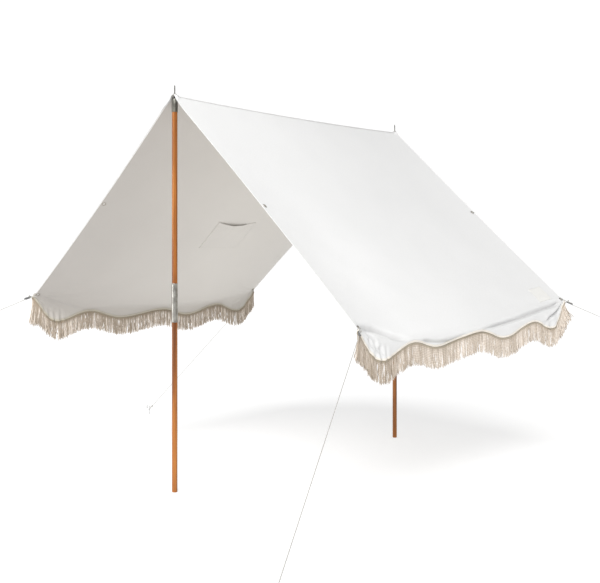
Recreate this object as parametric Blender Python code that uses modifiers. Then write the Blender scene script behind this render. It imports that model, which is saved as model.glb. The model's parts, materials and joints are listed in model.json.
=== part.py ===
# Beach tent: a two-pole ridge canopy of canvas with scalloped, fringed eaves,
# held open by four guy lines. Metres, +Z up, front at -Y, ground at z = 0.

import math

import bmesh
import bpy
from mathutils import Matrix, Vector

# Poles and ridge
RIDGE_HEIGHT = 2.000
RIDGE_LENGTH = 2.016
RIDGE_SAG = 0.012
POLE_RADIUS = 0.0140
POLE_JOINT_HEIGHT = 0.953
SLEEVE_RADIUS = 0.0156
SLEEVE_BOTTOM = 0.855
SLEEVE_TOP = 1.051
FERRULE_RADIUS = 0.0155
FERRULE_BOTTOM = 1.914
FERRULE_TOP = 1.9822
FERRULE_PLATE = 0.004
SPIKE_RADIUS = 0.0030
SPIKE_TOP = 2.050
FOOT_CHAMFER = 0.0015

# Canvas, and where its eave grommets and ground pegs stand
CLOTH = 0.0020
GAP = 0.0003
EDGE_BEYOND_GROMMET = 0.024
EDGE_CURVE = 0.018
PANEL_SAG = 0.022
EAVE_GROMMETS = {
    "front_right": (1.130, -1.001, 0.881),
    "rear_right": (1.175, 0.980, 0.941),
    "front_left": (-1.159, -0.966, 0.972),
    "rear_left": (-1.183, 0.949, 0.952),
}
PEGS = {
    "front_right": (1.670, -2.280),
    "rear_right": (2.572, 2.652),
    "front_left": (-2.572, -2.652),
    "rear_left": (-2.012, 0.722),
}
SIDES = {"left": -1, "right": 1}
ENDS = {"front": 0.0, "rear": 1.0}

# Eave fold, scalloped hem and fringe
FOLD_DROP = 0.076
FOLD_FRONT_RUN = 0.22
FOLD_REAR_RUN = 0.42
HEM_TUCK = 0.012
HEM_WAVE = (
    (0.000, 0.010), (0.091, 0.143), (0.218, 0.089), (0.334, 0.133), (0.529, 0.095),
    (0.646, 0.141), (0.806, 0.084), (0.907, 0.133), (1.000, 0.010),
)
VALANCE_END = 0.010
FOLD_CLEARANCE = 0.0026
LEAST_VALANCE = 0.004
TAPE_HEIGHT = 0.012
TAPE_THICKNESS = 0.0035
FRINGE_LENGTH = 0.100
FRINGE_THICKNESS = 0.0060
SIDE_HEM_WIDTH = 0.012
SIDE_HEM_THICKNESS = 0.0012
SIDE_HEM_LIFT = 0.0007
SIDE_HEM_FROM = 0.018
SIDE_HEM_TO = 0.975
RIDGE_BAND_HALF_WIDTH = 0.012
RIDGE_BAND_THICKNESS = 0.0010

# Pocket inside the left panel and blank patch outside the right panel
POCKET_Y = (-0.045, 0.300)
POCKET_SLOPE = (0.832, 1.067)
POCKET_BULGE = 0.020
POCKET_DROOP = 0.020
PATCH_Y = (0.782, 0.906)
PATCH_SLOPE = (1.458, 1.562)
PATCH_THICKNESS = 0.0008

# Eyelets
GROMMET_HOLE = 0.0050
GROMMET_BARREL = 0.0066
GROMMET_FLANGE = 0.0115
GROMMET_METAL = 0.0009
GROMMET_CUT = 0.0070
EDGE_GROMMET_INSET = 0.030
EDGE_GROMMET_AT = 0.50

# Guy lines, tensioners and pegs
ROPE_RADIUS = 0.00175
BAR_START = 0.038
BAR_LENGTH = 0.042
BAR_WIDTH = 0.014
BAR_THICKNESS = 0.005
BAR_HOLE = 0.0024
PEG_RADIUS = 0.0040
PEG_HEIGHT = 0.062
PEG_EYE_HEIGHT = 0.036

ROUND_STEPS = 24
EYELET_STEPS = 12
PANEL_STATIONS = 20
PANEL_ROWS = 8
HEM_STATIONS = 40


def clear_scene():
    for old in list(bpy.data.objects):
        bpy.data.objects.remove(old, do_unlink=True)


def new_collection(name):
    group = bpy.data.collections.new(name)
    bpy.context.scene.collection.children.link(group)
    return group


def new_material(name, colour, roughness, metallic=0.0):
    material = bpy.data.materials.new(name)
    material.use_nodes = True
    shader = material.node_tree.nodes["Principled BSDF"]
    shader.inputs["Base Color"].default_value = (*colour, 1.0)
    shader.inputs["Roughness"].default_value = roughness
    shader.inputs["Metallic"].default_value = metallic
    return material


clear_scene()
PARTS = new_collection("beach_tent")
CUTTERS = new_collection("cutters")

FINISHES = {
    "canvas": ((0.86, 0.85, 0.82), 0.9, 0.0),
    "tape": ((0.80, 0.74, 0.64), 0.9, 0.0),
    "fringe": ((0.74, 0.66, 0.56), 0.95, 0.0),
    "wood": ((0.50, 0.22, 0.08), 0.45, 0.0),
    "steel": ((0.45, 0.45, 0.44), 0.35, 1.0),
    "eyelet": ((0.55, 0.50, 0.42), 0.35, 1.0),
    "rope": ((0.88, 0.87, 0.84), 0.8, 0.0),
    "tensioner": ((0.14, 0.14, 0.14), 0.5, 0.0),
    "peg": ((0.60, 0.60, 0.60), 0.4, 1.0),
}


def finish(thing, finish_name):
    """Give an object its own material."""
    colour, roughness, metallic = FINISHES[finish_name]
    material = new_material(thing.name + "_" + finish_name, colour, roughness, metallic)
    thing.data.materials.clear()
    thing.data.materials.append(material)
    return thing


def add_mesh(name, bm, group=None):
    mesh = bpy.data.meshes.new(name)
    bm.to_mesh(mesh)
    bm.free()
    thing = bpy.data.objects.new(name, mesh)
    (group or PARTS).objects.link(thing)
    return thing


def mix(a, b, t):
    return a + (b - a) * t


def arch(t):
    """Zero at both ends and one half way."""
    return 4.0 * t * (1.0 - t)


# The shape of the stretched canvas. u runs from the front edge to the rear edge,
# v from the ridge (0) to the eave fold (1).

def eave_corner(side_name, end_name):
    """Corner of the cloth, a little outside its grommet."""
    eyelet = Vector(EAVE_GROMMETS[end_name + "_" + side_name])
    ridge = Vector((0.0, eyelet.y, RIDGE_HEIGHT))
    down_slope = (eyelet - ridge).normalized()
    along = Vector((0.0, math.copysign(1.0, eyelet.y), 0.0))
    return eyelet + (down_slope + along) * EDGE_BEYOND_GROMMET


def ridge_point(side, u):
    overhang = EDGE_BEYOND_GROMMET
    y = mix(-RIDGE_LENGTH / 2 - overhang, RIDGE_LENGTH / 2 + overhang, u)
    return Vector((side * 0.0016, y, RIDGE_HEIGHT - RIDGE_SAG * arch(u)))


def fold_share(u):
    """How far down its full drop the eave fold lies."""
    front = min(1.0, u / FOLD_FRONT_RUN)
    rear = min(1.0, (1.0 - u) / FOLD_REAR_RUN)
    return (1.0 - (1.0 - front) ** 2) * (1.0 - (1.0 - rear) ** 2)


def smooth_fold_point(side_name, u):
    side = SIDES[side_name]
    start = eave_corner(side_name, "front")
    stop = eave_corner(side_name, "rear")
    share = fold_share(u)
    return start.lerp(stop, u) + Vector((-side * HEM_TUCK * share, 0.0, -FOLD_DROP * share))


def fold_point(side_name, u):
    """The fold as straight runs between stations, so that panel and valance agree."""
    place = min(max(u, 0.0), 1.0) * PANEL_STATIONS
    low = min(int(place), PANEL_STATIONS - 1)
    start = smooth_fold_point(side_name, low / PANEL_STATIONS)
    stop = smooth_fold_point(side_name, (low + 1) / PANEL_STATIONS)
    return start.lerp(stop, place - low)


def panel_point(side_name, u, v):
    side = SIDES[side_name]
    top = ridge_point(side, u)
    bottom = fold_point(side_name, u)
    point = top.lerp(bottom, v)
    point.y += EDGE_CURVE * arch(v) * (1.0 - 2.0 * u)
    inward = Vector((-side * 0.67, 0.0, -0.74))
    return point + inward * PANEL_SAG * arch(v) * arch(u)


def panel_normal(side_name, u, v):
    step = 0.01
    along = panel_point(side_name, min(u + step, 1.0), v) - panel_point(side_name, max(u - step, 0.0), v)
    down = panel_point(side_name, u, min(v + step, 1.0)) - panel_point(side_name, u, max(v - step, 0.0))
    return (down.cross(along) * SIDES[side_name]).normalized()


def panel_place(side_name, y, slope_distance):
    """u and v of a spot given by its y and its distance down the slope."""
    u = 0.5
    v = 0.5
    for _ in range(12):
        here = panel_point(side_name, u, v)
        width = panel_point(side_name, 1.0, v).y - panel_point(side_name, 0.0, v).y
        height = (panel_point(side_name, u, 1.0) - panel_point(side_name, u, 0.0)).length
        u += (y - here.y) / width
        v = slope_distance / height
    return u, v


def hem_drop(u):
    """Height of the valance below the straight line between its eave corners."""
    last = len(HEM_WAVE) - 2
    for index in range(last + 1):
        u0, drop0 = HEM_WAVE[index]
        u1, drop1 = HEM_WAVE[index + 1]
        if u <= u1:
            break
    t = (u - u0) / (u1 - u0)
    if index == 0:
        ease = math.sin(t * math.pi / 2)
    elif index == last:
        ease = 1.0 - math.cos(t * math.pi / 2)
    else:
        ease = 0.5 - 0.5 * math.cos(t * math.pi)
    return mix(drop0, drop1, ease)


def hem_point(side_name, u):
    side = SIDES[side_name]
    start = eave_corner(side_name, "front")
    stop = eave_corner(side_name, "rear")
    point = start.lerp(stop, u)
    point.x -= side * HEM_TUCK * fold_share(u)
    point.z -= hem_drop(u)
    return point


# Building helpers

def sheet(name, surface, stations, rows, thickness, flip, grow_out=False):
    """A thin closed solid from a surface given as surface(u, v)."""
    bm = bmesh.new()
    bmesh.ops.create_grid(bm, x_segments=stations, y_segments=rows, size=0.5)
    for vert in bm.verts:
        vert.co = surface(vert.co.x + 0.5, 0.5 - vert.co.y)
    if flip:
        bmesh.ops.reverse_faces(bm, faces=bm.faces)
    thing = add_mesh(name, bm)
    solid = thing.modifiers.new("thickness", "SOLIDIFY")
    solid.thickness = thickness
    solid.offset = 1.0 if grow_out else -1.0
    solid.use_even_offset = True
    return thing


def turned(name, profile, steps, closed):
    """A turned piece from a profile of radius and height, down its outer side."""
    bm = bmesh.new()
    verts = [bm.verts.new((radius, 0.0, height)) for radius, height in profile]
    for first, second in zip(verts, verts[1:]):
        bm.edges.new((first, second))
    if closed:
        bm.edges.new((verts[-1], verts[0]))
    thing = add_mesh(name, bm)
    screw = thing.modifiers.new("turn", "SCREW")
    screw.steps = steps
    screw.render_steps = steps
    screw.use_merge_vertices = True
    screw.merge_threshold = 0.00005
    screw.use_smooth_shade = True
    return thing


def frame_matrix(origin, z_axis, x_hint):
    z = Vector(z_axis).normalized()
    x = (Vector(x_hint) - z * z.dot(Vector(x_hint))).normalized()
    y = z.cross(x)
    matrix = Matrix((x, y, z)).transposed().to_4x4()
    matrix.translation = origin
    return matrix


def cylinder_cutter(name, radius, length, matrix, steps=16):
    bm = bmesh.new()
    bmesh.ops.create_cone(
        bm, cap_ends=True, segments=steps, radius1=radius, radius2=radius, depth=length)
    cutter = add_mesh(name, bm, CUTTERS)
    cutter.matrix_world = matrix
    cutter.hide_render = True
    cutter.display_type = "WIRE"
    return cutter


def cut(thing, cutter):
    boolean = thing.modifiers.new(cutter.name, "BOOLEAN")
    boolean.operation = "DIFFERENCE"
    boolean.solver = "EXACT"
    boolean.object = cutter


def tube(name, points, radius, sides_step, radii=None):
    """A round cord or rod along points."""
    curve = bpy.data.curves.new(name, "CURVE")
    curve.dimensions = "3D"
    curve.bevel_depth = radius
    curve.bevel_resolution = sides_step
    curve.use_fill_caps = True
    spline = curve.splines.new("POLY")
    spline.points.add(len(points) - 1)
    for index, point in enumerate(points):
        spline.points[index].co = (*point, 1.0)
        spline.points[index].radius = radii[index] if radii else 1.0
    spline.use_smooth = True
    thing = bpy.data.objects.new(name, curve)
    PARTS.objects.link(thing)
    return thing


def smooth_path(points, pieces):
    """Points on a curve that passes through all the given ones."""
    path = []
    count = len(points)
    for index in range(count - 1):
        p0 = points[max(index - 1, 0)]
        p1 = points[index]
        p2 = points[index + 1]
        p3 = points[min(index + 2, count - 1)]
        for piece in range(pieces):
            t = piece / pieces
            path.append(
                0.5 * ((2 * p1) + (p2 - p0) * t + (2 * p0 - 5 * p1 + 4 * p2 - p3) * t ** 2
                       + (3 * p1 - p0 - 3 * p2 + p3) * t ** 3))
    path.append(points[-1])
    return path


# Canopy cloth

def make_panel(side_name):
    panel = sheet(
        "canopy_" + side_name, lambda u, v: panel_point(side_name, u, v),
        PANEL_STATIONS, PANEL_ROWS, CLOTH, SIDES[side_name] < 0)
    return finish(panel, "canvas")


def valance_top(side_name, across):
    return fold_point(side_name, across) - Vector((0.0, 0.0, FOLD_CLEARANCE))


def hem_line(side_name, across, extra=0.0):
    """Lower edge of the valance, or a line that far below it."""
    point = hem_point(side_name, across)
    point.z = min(point.z, valance_top(side_name, across).z - LEAST_VALANCE) - extra
    return point


def make_valance(side_name):
    def surface(u, v):
        across = mix(VALANCE_END, 1.0 - VALANCE_END, u)
        return valance_top(side_name, across).lerp(hem_line(side_name, across), v)

    valance = sheet(
        "valance_" + side_name, surface, HEM_STATIONS, 2, CLOTH, SIDES[side_name] < 0)
    return finish(valance, "canvas")


def make_band_below_hem(name, side_name, top_drop, bottom_drop, thickness, finish_name):
    side = SIDES[side_name]
    middle = Vector((side * (thickness - CLOTH) / 2, 0.0, 0.0))

    def surface(u, v):
        across = mix(VALANCE_END, 1.0 - VALANCE_END, u)
        return hem_line(side_name, across, mix(top_drop, bottom_drop, v)) + middle

    band = sheet(name, surface, HEM_STATIONS, 1, thickness, side < 0)
    return finish(band, finish_name)


def make_side_hem(side_name, end_name):
    side = SIDES[side_name]
    at_rear = end_name == "rear"
    share = SIDE_HEM_WIDTH / (RIDGE_LENGTH + 2 * EDGE_BEYOND_GROMMET)

    def surface(u, v):
        across = 1.0 - share * (1.0 - u) if at_rear else share * u
        down = min(max(v, SIDE_HEM_FROM), SIDE_HEM_TO)
        point = panel_point(side_name, across, down)
        return point - panel_normal(side_name, across, down) * (CLOTH + SIDE_HEM_LIFT)

    hem = sheet(
        "side_hem_" + end_name + "_" + side_name, surface, 1, PANEL_ROWS,
        SIDE_HEM_THICKNESS, side < 0)
    return finish(hem, "canvas")


def make_ridge_band():
    lift = 0.0005

    def surface(u, v):
        across = (v - 0.5) * 2.0
        if abs(across) < 0.1:
            apex = ridge_point(0, u)
            return apex + Vector((0.0, 0.0, 0.0022))
        side_name = "left" if across > 0 else "right"
        down = RIDGE_BAND_HALF_WIDTH / 1.18
        return panel_point(side_name, u, down) + panel_normal(side_name, u, down) * lift

    band = sheet(
        "ridge_band", surface, PANEL_STATIONS, 2, RIDGE_BAND_THICKNESS, True, grow_out=True)
    return finish(band, "canvas")


def make_pocket():
    def surface(u, v):
        y = mix(POCKET_Y[0], POCKET_Y[1], u)
        top = POCKET_SLOPE[0] + POCKET_DROOP * math.sin(math.pi * u)
        across, down = panel_place("left", y, mix(top, POCKET_SLOPE[1], v))
        open_share = math.sin(math.pi * u) ** 0.7 * (1.0 - v) ** 0.8
        stand_off = CLOTH + GAP * 3 + POCKET_BULGE * open_share
        return panel_point("left", across, down) - panel_normal("left", across, down) * stand_off

    pocket = sheet("pocket", surface, 8, 6, SIDE_HEM_THICKNESS, True)
    return finish(pocket, "canvas")


def make_patch():
    def surface(u, v):
        y = mix(PATCH_Y[0], PATCH_Y[1], u)
        across, down = panel_place("right", y, mix(PATCH_SLOPE[0], PATCH_SLOPE[1], v))
        return panel_point("right", across, down) + panel_normal("right", across, down) * GAP * 2

    patch = sheet("blank_patch", surface, 4, 3, PATCH_THICKNESS, False, grow_out=True)
    return finish(patch, "canvas")


# Eyelets

def make_eyelet(name, side_name, u, v):
    """An eyelet through the canvas, and the hole that it sits in."""
    half = CLOTH / 2 + 0.00045
    outer = half + GROMMET_METAL
    profile = (
        (GROMMET_HOLE, outer), (GROMMET_FLANGE, outer), (GROMMET_FLANGE, half),
        (GROMMET_BARREL, half), (GROMMET_BARREL, -half), (GROMMET_FLANGE, -half),
        (GROMMET_FLANGE, -outer), (GROMMET_HOLE, -outer),
    )
    normal = panel_normal(side_name, u, v)
    centre = panel_point(side_name, u, v) - normal * CLOTH / 2
    matrix = frame_matrix(centre, normal, (0.0, 1.0, 0.0))
    eyelet = turned(name, profile, EYELET_STEPS, True)
    eyelet.matrix_world = matrix
    finish(eyelet, "eyelet")
    return cylinder_cutter("hole_" + name, GROMMET_CUT, 0.03, matrix)


def make_ridge_eyelet(name, y):
    top = RIDGE_HEIGHT + 0.0056
    under = RIDGE_HEIGHT + 0.0041
    foot = FERRULE_TOP + 0.0005
    profile = (
        (SPIKE_RADIUS + 0.0004, top), (0.0105, top), (0.0105, under),
        (0.0063, under), (0.0063, foot), (SPIKE_RADIUS + 0.0004, foot),
    )
    eyelet = turned(name, profile, EYELET_STEPS, True)
    eyelet.location = (0.0, y, 0.0)
    finish(eyelet, "eyelet")
    matrix = Matrix.Translation((0.0, y, RIDGE_HEIGHT))
    return cylinder_cutter("hole_" + name, GROMMET_CUT, 0.05, matrix)


# Poles

def make_pole(end_name, y):
    """Two wooden halves joined by a sleeve, with a ferrule and spike on top."""
    wood_top = FERRULE_TOP - FERRULE_PLATE - GAP
    r = POLE_RADIUS
    pieces = {
        "_pole_lower": (((0.0, POLE_JOINT_HEIGHT), (r, POLE_JOINT_HEIGHT), (r, FOOT_CHAMFER),
                         (r - FOOT_CHAMFER, 0.0), (0.0, 0.0)), False, "wood"),
        "_pole_upper": (((0.0, wood_top), (r, wood_top), (r, POLE_JOINT_HEIGHT + GAP),
                         (0.0, POLE_JOINT_HEIGHT + GAP)), False, "wood"),
        "_pole_sleeve": (((r + GAP, SLEEVE_TOP), (SLEEVE_RADIUS, SLEEVE_TOP),
                          (SLEEVE_RADIUS, SLEEVE_BOTTOM), (r + GAP, SLEEVE_BOTTOM)), True, "steel"),
        "_pole_tip": (((0.0, SPIKE_TOP), (0.0012, SPIKE_TOP - 0.0006),
                       (SPIKE_RADIUS, SPIKE_TOP - 0.006), (SPIKE_RADIUS, FERRULE_TOP),
                       (FERRULE_RADIUS, FERRULE_TOP), (FERRULE_RADIUS, FERRULE_BOTTOM),
                       (r + GAP, FERRULE_BOTTOM), (r + GAP, wood_top + GAP),
                       (0.0, wood_top + GAP)), False, "steel"),
    }
    for suffix, (profile, closed, finish_name) in pieces.items():
        piece = turned(end_name + suffix, profile, ROUND_STEPS, closed)
        piece.location = (0.0, y, 0.0)
        finish(piece, finish_name)


# Guy lines

def corner_frame(corner):
    """Place and axes at an eave grommet: outward along the cloth, sideways, and normal."""
    end_name, side_name = corner.split("_")
    u, v = corner_grommet_place(side_name, end_name)
    normal = panel_normal(side_name, u, v)
    surface = panel_point(side_name, u, v)
    outward = eave_corner(side_name, end_name) - surface
    outward = (outward - normal * outward.dot(normal)).normalized()
    return surface - normal * CLOTH / 2, outward, normal.cross(outward), normal


def corner_grommet_place(side_name, end_name):
    eyelet = Vector(EAVE_GROMMETS[end_name + "_" + side_name])
    ridge = Vector((0.0, eyelet.y, RIDGE_HEIGHT))
    return panel_place(side_name, eyelet.y, (eyelet - ridge).length)


def make_tensioner(corner):
    """A flat bar with a hole near each end, on the line just outside its grommet."""
    origin, outward, sideways, normal = corner_frame(corner)
    bm = bmesh.new()
    bmesh.ops.create_cube(bm, size=1.0)
    bmesh.ops.scale(bm, verts=bm.verts, vec=(BAR_LENGTH, BAR_WIDTH, BAR_THICKNESS))
    bar = add_mesh("tensioner_" + corner, bm)
    middle = origin + outward * (BAR_START + BAR_LENGTH / 2)
    matrix = frame_matrix(middle, normal, outward)
    bar.matrix_world = matrix
    bevel = bar.modifiers.new("rounded", "BEVEL")
    bevel.width = 0.0018
    bevel.segments = 2
    for name, (along, across) in {"near": NEAR_HOLE, "far": FAR_HOLE}.items():
        place = origin + outward * along + sideways * across
        cutter = cylinder_cutter(
            "hole_" + name + "_" + corner, BAR_HOLE, 0.02, frame_matrix(place, normal, outward), 8)
        cut(bar, cutter)
    finish(bar, "tensioner")


NEAR_HOLE = (BAR_START + 0.008, 0.0030)
FAR_HOLE = (BAR_START + BAR_LENGTH - 0.008, 0.0)


def make_guy_line(corner):
    """Rope from its knot on the tensioner, through the grommet and back, to the peg."""
    origin, outward, sideways, normal = corner_frame(corner)
    near, near_side = NEAR_HOLE
    far, far_side = FAR_HOLE
    seat = GROMMET_HOLE * math.cos(math.pi / EYELET_STEPS) - ROPE_RADIUS - GAP
    local = (
        (near, near_side, 0.0078), (near, near_side, 0.0050), (near, near_side, 0.0),
        (near - 0.001, near_side, -0.0055), (near - 0.007, 0.0022, -0.0072),
        (0.018, 0.0010, -0.0066), (0.0080, 0.0, -0.0074), (seat, 0.0, -0.0034),
        (seat, 0.0, 0.0034), (0.0080, -0.0006, 0.0074), (0.020, -0.0026, 0.0066),
        (near, -0.0042, 0.0056), (far - 0.010, -0.0030, 0.0056), (far - 0.002, -0.0004, 0.0050),
        (far, far_side, 0.0), (far + 0.001, far_side, -0.0050),
    )
    start = [origin + outward * a + sideways * b + normal * c for a, b, c in local]
    eye = Vector((*PEGS[corner], PEG_EYE_HEIGHT))
    climb = (start[-1] - eye).normalized()
    level = Vector((climb.x, climb.y, 0.0)).normalized()
    across = Vector((-level.y, level.x, 0.0))
    reach = (PEG_RADIUS + ROPE_RADIUS + 0.0006)
    far_reach = reach / climb.dot(level)
    leave = start[-1] - (start[-1] - eye).normalized() * 0.012
    loop = (
        (0.060, 0.0), (0.026, 0.0030), (0.010, reach), (0.0, reach * 1.02),
        (-far_reach * 0.75, reach * 0.75), (-far_reach * 1.04, 0.0),
        (-far_reach * 0.75, -reach * 0.75), (0.0, -reach * 1.02), (0.010, -reach),
        (0.024, -0.0035),
    )
    end = [eye + climb * a + across * b for a, b in loop]
    path = smooth_path(start, 3) + [leave] + smooth_path(end, 2)
    radii = [1.9, 1.9, 1.9, 1.6] + [1.0] * (len(path) - 4)
    rope = tube("guy_line_" + corner, path, ROPE_RADIUS, 1, radii)
    finish(rope, "rope")


def make_peg(corner):
    """A hooked steel peg. Its foot ends flat at ground level."""
    foot = Vector((*PEGS[corner], 0.0))
    away = Vector((foot.x, foot.y, 0.0)) - Vector(EAVE_GROMMETS[corner])
    away.z = 0.0
    away.normalize()
    up = Vector((0.0, 0.0, 1.0))
    bend = 0.011
    points = [foot, foot + up * (PEG_HEIGHT - bend)]
    for turn in range(1, 7):
        angle = math.radians(30 * turn)
        points.append(
            foot + up * (PEG_HEIGHT - bend + bend * math.sin(angle))
            + away * bend * (1.0 - math.cos(angle)))
    points.append(points[-1] - up * 0.010)
    peg = tube("peg_" + corner, points, PEG_RADIUS, 2)
    finish(peg, "peg")


# Assembly

panels = {name: make_panel(name) for name in SIDES}
ridge_band = make_ridge_band()
for side_name in SIDES:
    make_valance(side_name)
    make_band_below_hem(
        "fringe_tape_" + side_name, side_name, GAP, GAP + TAPE_HEIGHT, TAPE_THICKNESS, "tape")
    make_band_below_hem(
        "fringe_" + side_name, side_name, 2 * GAP + TAPE_HEIGHT,
        2 * GAP + TAPE_HEIGHT + FRINGE_LENGTH, FRINGE_THICKNESS, "fringe")
    for end_name, edge_u in ENDS.items():
        make_side_hem(side_name, end_name)
        u, v = corner_grommet_place(side_name, end_name)
        corner = end_name + "_" + side_name
        cut(panels[side_name], make_eyelet("corner_eyelet_" + corner, side_name, u, v))
        inset = EDGE_GROMMET_INSET / (RIDGE_LENGTH - 2 * EDGE_CURVE)
        u = abs(edge_u - inset)
        cut(panels[side_name],
            make_eyelet("edge_eyelet_" + corner, side_name, u, EDGE_GROMMET_AT))
make_pocket()
make_patch()
for end_name, y in {"front": -RIDGE_LENGTH / 2, "rear": RIDGE_LENGTH / 2}.items():
    make_pole(end_name, y)
    hole = make_ridge_eyelet("ridge_eyelet_" + end_name, y)
    for thing in (*panels.values(), ridge_band):
        cut(thing, hole)
for corner in EAVE_GROMMETS:
    make_tensioner(corner)
    make_guy_line(corner)
    make_peg(corner)
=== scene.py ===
# Beach tent: the looks of its canvas, fringe, poles, eyelets and guy lines.
# Metres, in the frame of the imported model: +Z up, front at -Y, ground at z = 0.

import json
import math

import bmesh
import bpy
import numpy as np
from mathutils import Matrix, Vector

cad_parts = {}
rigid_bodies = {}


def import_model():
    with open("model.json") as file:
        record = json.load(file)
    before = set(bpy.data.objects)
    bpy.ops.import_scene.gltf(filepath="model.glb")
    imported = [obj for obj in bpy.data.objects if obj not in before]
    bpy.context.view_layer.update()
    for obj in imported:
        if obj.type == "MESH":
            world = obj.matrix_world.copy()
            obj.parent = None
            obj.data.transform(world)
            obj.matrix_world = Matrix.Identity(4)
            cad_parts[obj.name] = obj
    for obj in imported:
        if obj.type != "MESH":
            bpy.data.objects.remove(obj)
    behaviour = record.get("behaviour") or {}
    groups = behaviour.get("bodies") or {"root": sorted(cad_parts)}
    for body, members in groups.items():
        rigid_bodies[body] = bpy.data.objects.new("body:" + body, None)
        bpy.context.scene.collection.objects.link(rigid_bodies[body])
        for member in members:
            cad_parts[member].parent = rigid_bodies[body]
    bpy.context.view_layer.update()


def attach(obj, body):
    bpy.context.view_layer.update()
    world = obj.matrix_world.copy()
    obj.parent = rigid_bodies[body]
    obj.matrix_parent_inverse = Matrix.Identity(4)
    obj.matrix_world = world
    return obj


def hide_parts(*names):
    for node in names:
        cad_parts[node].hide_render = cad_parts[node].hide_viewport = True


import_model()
chance = np.random.default_rng(1694)

# Sizes shared with the solids
RIDGE_HEIGHT = 2.000
RIDGE_LENGTH = 2.016
RIDGE_SAG = 0.012
POLE_RADIUS = 0.0140
POLE_JOINT = 0.953
SLEEVE_RADIUS = 0.0156
SLEEVE_SPAN = (0.855, 1.051)
FERRULE_RADIUS = 0.0155
FERRULE_SPAN = (1.914, 1.9822)
SPIKE_RADIUS = 0.0030
SPIKE_TOP = 2.050
BEYOND_EYELET = 0.024
EDGE_CURVE = 0.018
PANEL_SAG = 0.022
EAVE_EYELETS = {
    "front_right": (1.130, -1.001, 0.881),
    "rear_right": (1.175, 0.980, 0.941),
    "front_left": (-1.159, -0.966, 0.972),
    "rear_left": (-1.183, 0.949, 0.952),
}
PEGS = {
    "front_right": (1.670, -2.280),
    "rear_right": (2.572, 2.652),
    "front_left": (-2.572, -2.652),
    "rear_left": (-2.012, 0.722),
}
SIDES = {"left": -1.0, "right": 1.0}
POLE_PLACES = {"front": -RIDGE_LENGTH / 2, "rear": RIDGE_LENGTH / 2}
FOLD_DROP = 0.076
FOLD_FRONT_RUN = 0.22
FOLD_REAR_RUN = 0.42
HEM_TUCK = 0.012
EYELET_HOLE = 0.0050
EDGE_EYELET_INSET = 0.030
EDGE_EYELET_AT = 0.50
POCKET_Y = (-0.045, 0.300)
POCKET_SLOPE = (0.832, 1.067)
POCKET_BULGE = 0.020
POCKET_DROOP = 0.020
PATCH_Y = (0.782, 0.906)
PATCH_SLOPE = (1.458, 1.562)
ROPE_RADIUS = 0.00175
BAR_START = 0.038
BAR_LENGTH = 0.042
BAR_WIDTH = 0.014
BAR_THICKNESS = 0.005
BAR_HOLE = 0.0024
PEG_RADIUS = 0.0040
PEG_HEIGHT = 0.062
PEG_EYE_HEIGHT = 0.036

# Scalloped hem of each side: place along the eave and drop below the line of its corners
HEM_WAVES = {
    "left": (
        (0.000, 0.001), (0.093, 0.142), (0.214, 0.0905), (0.345, 0.138), (0.534, 0.099),
        (0.643, 0.139), (0.803, 0.082), (0.905, 0.130), (1.000, 0.001)),
    "right": (
        (0.000, 0.001), (0.090, 0.144), (0.221, 0.0875), (0.321, 0.127), (0.523, 0.0895),
        (0.649, 0.143), (0.810, 0.085), (0.909, 0.137), (1.000, 0.001)),
}

UP = np.array((0.0, 0.0, 1.0))

# Light
SKY = 0.30
BACKDROP = 1.05
FLOOR_GREY = (0.46, 0.46, 0.46)
FLOOR_GLOW = 0.65
SUN_FROM = (0.357, -0.652, 0.669)
SUN = 2.9
SUN_SPREAD = 0.55
FILL_FROM = (-3.2, -5.6, 1.9)
FILL_TOWARDS = (0.0, -1.0, 1.1)
FILL_SIZE = (1.2, 2.6)
FILL_POWER = 110.0

# Camera
CAMERA_PLACE = (3.7594, -4.7366, 1.1912)
CAMERA_TURN = 0.67
LENS_LENGTH = 62.6
LENS_SHIFT = -0.0598

# The cloth's cut: its width, its length from ridge to hem and from ridge to fold
CLOTH_WIDTH = RIDGE_LENGTH + 2 * BEYOND_EYELET
CLOTH_DROP = 1.75
SLOPE_LENGTH = 1.61
CLOTH_THICKNESS = 0.0008

# How the cloth lies: under its solid's face, over the crown, on the spikes, at fold and edges
CLOTH_SINK = 0.0004
CROWN_RISE = 0.0012
CLOTH_SEAT = RIDGE_HEIGHT + 0.0018
SEAM_SEAT = RIDGE_HEIGHT + 0.0030
LEAST_VALANCE = 0.004
CORNER_PULL = 0.010
FOLD_ROUND = 0.026
EDGE_TURN = 0.014
EDGE_SEAM = 0.0115

# Round an eyelet or spike: the cut in the cloth, and where the cloth is flat and where it is free
EYELET_CUT = 0.0072
SPIKE_CUT = 0.0046
EYELET_FLAT = (0.013, 0.055)

# Pocket and patch: gap behind the pocket, how far along its mouth gapes, the patch's pulled corners
POCKET_STAND = 0.0020
POCKET_OPEN = 0.80
PATCH_CORNER = 0.004

# Painted shading of the cloth: where the valance's painted shade starts, the most painted light and shade
# drift, and the painted shade in the folds
VALANCE_FROM = 1.60
MOST_SHADING_DRIFT = 0.84
FOLD_SHADE_STRENGTH = 0.30
DEEPEST_FOLD = 0.030

# Head of the fringe
RIB_PITCH = 0.0052
CORD_ROWS = (0.0074, 0.0128)

# Strands: size, the gap in the right fringe, the denser ends, the tufts, and the painted shade at their roots
STRAND_PITCH = 0.0050
STRAND_LENGTH = 0.100
STRAND_RADIUS = (0.0014, 0.0024)
STRAND_RINGS = 13
STRAND_SIDES = 6
STRAND_DROP = 0.0120
LAYER_SHIFT = 0.0017
STRAND_GAP_Y = -0.102
STRAND_GAP_HALF = 0.0042
DENSE_ENDS = 0.16
TUFT_MOST = {"left": 2, "right": 4}
TUFT_PULL = 0.60
ROOT_SHADE_TONES = {"left": (0.10, 0.25), "right": (0.40, 0.65)}
# Spread of the strands' ends near the corners: front along and outward, rear along and outward
FRINGE_FANS = {"left": (-0.016, 0.006, 0.006, 0.004), "right": (-0.022, 0.000, 0.026, 0.030)}
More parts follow.
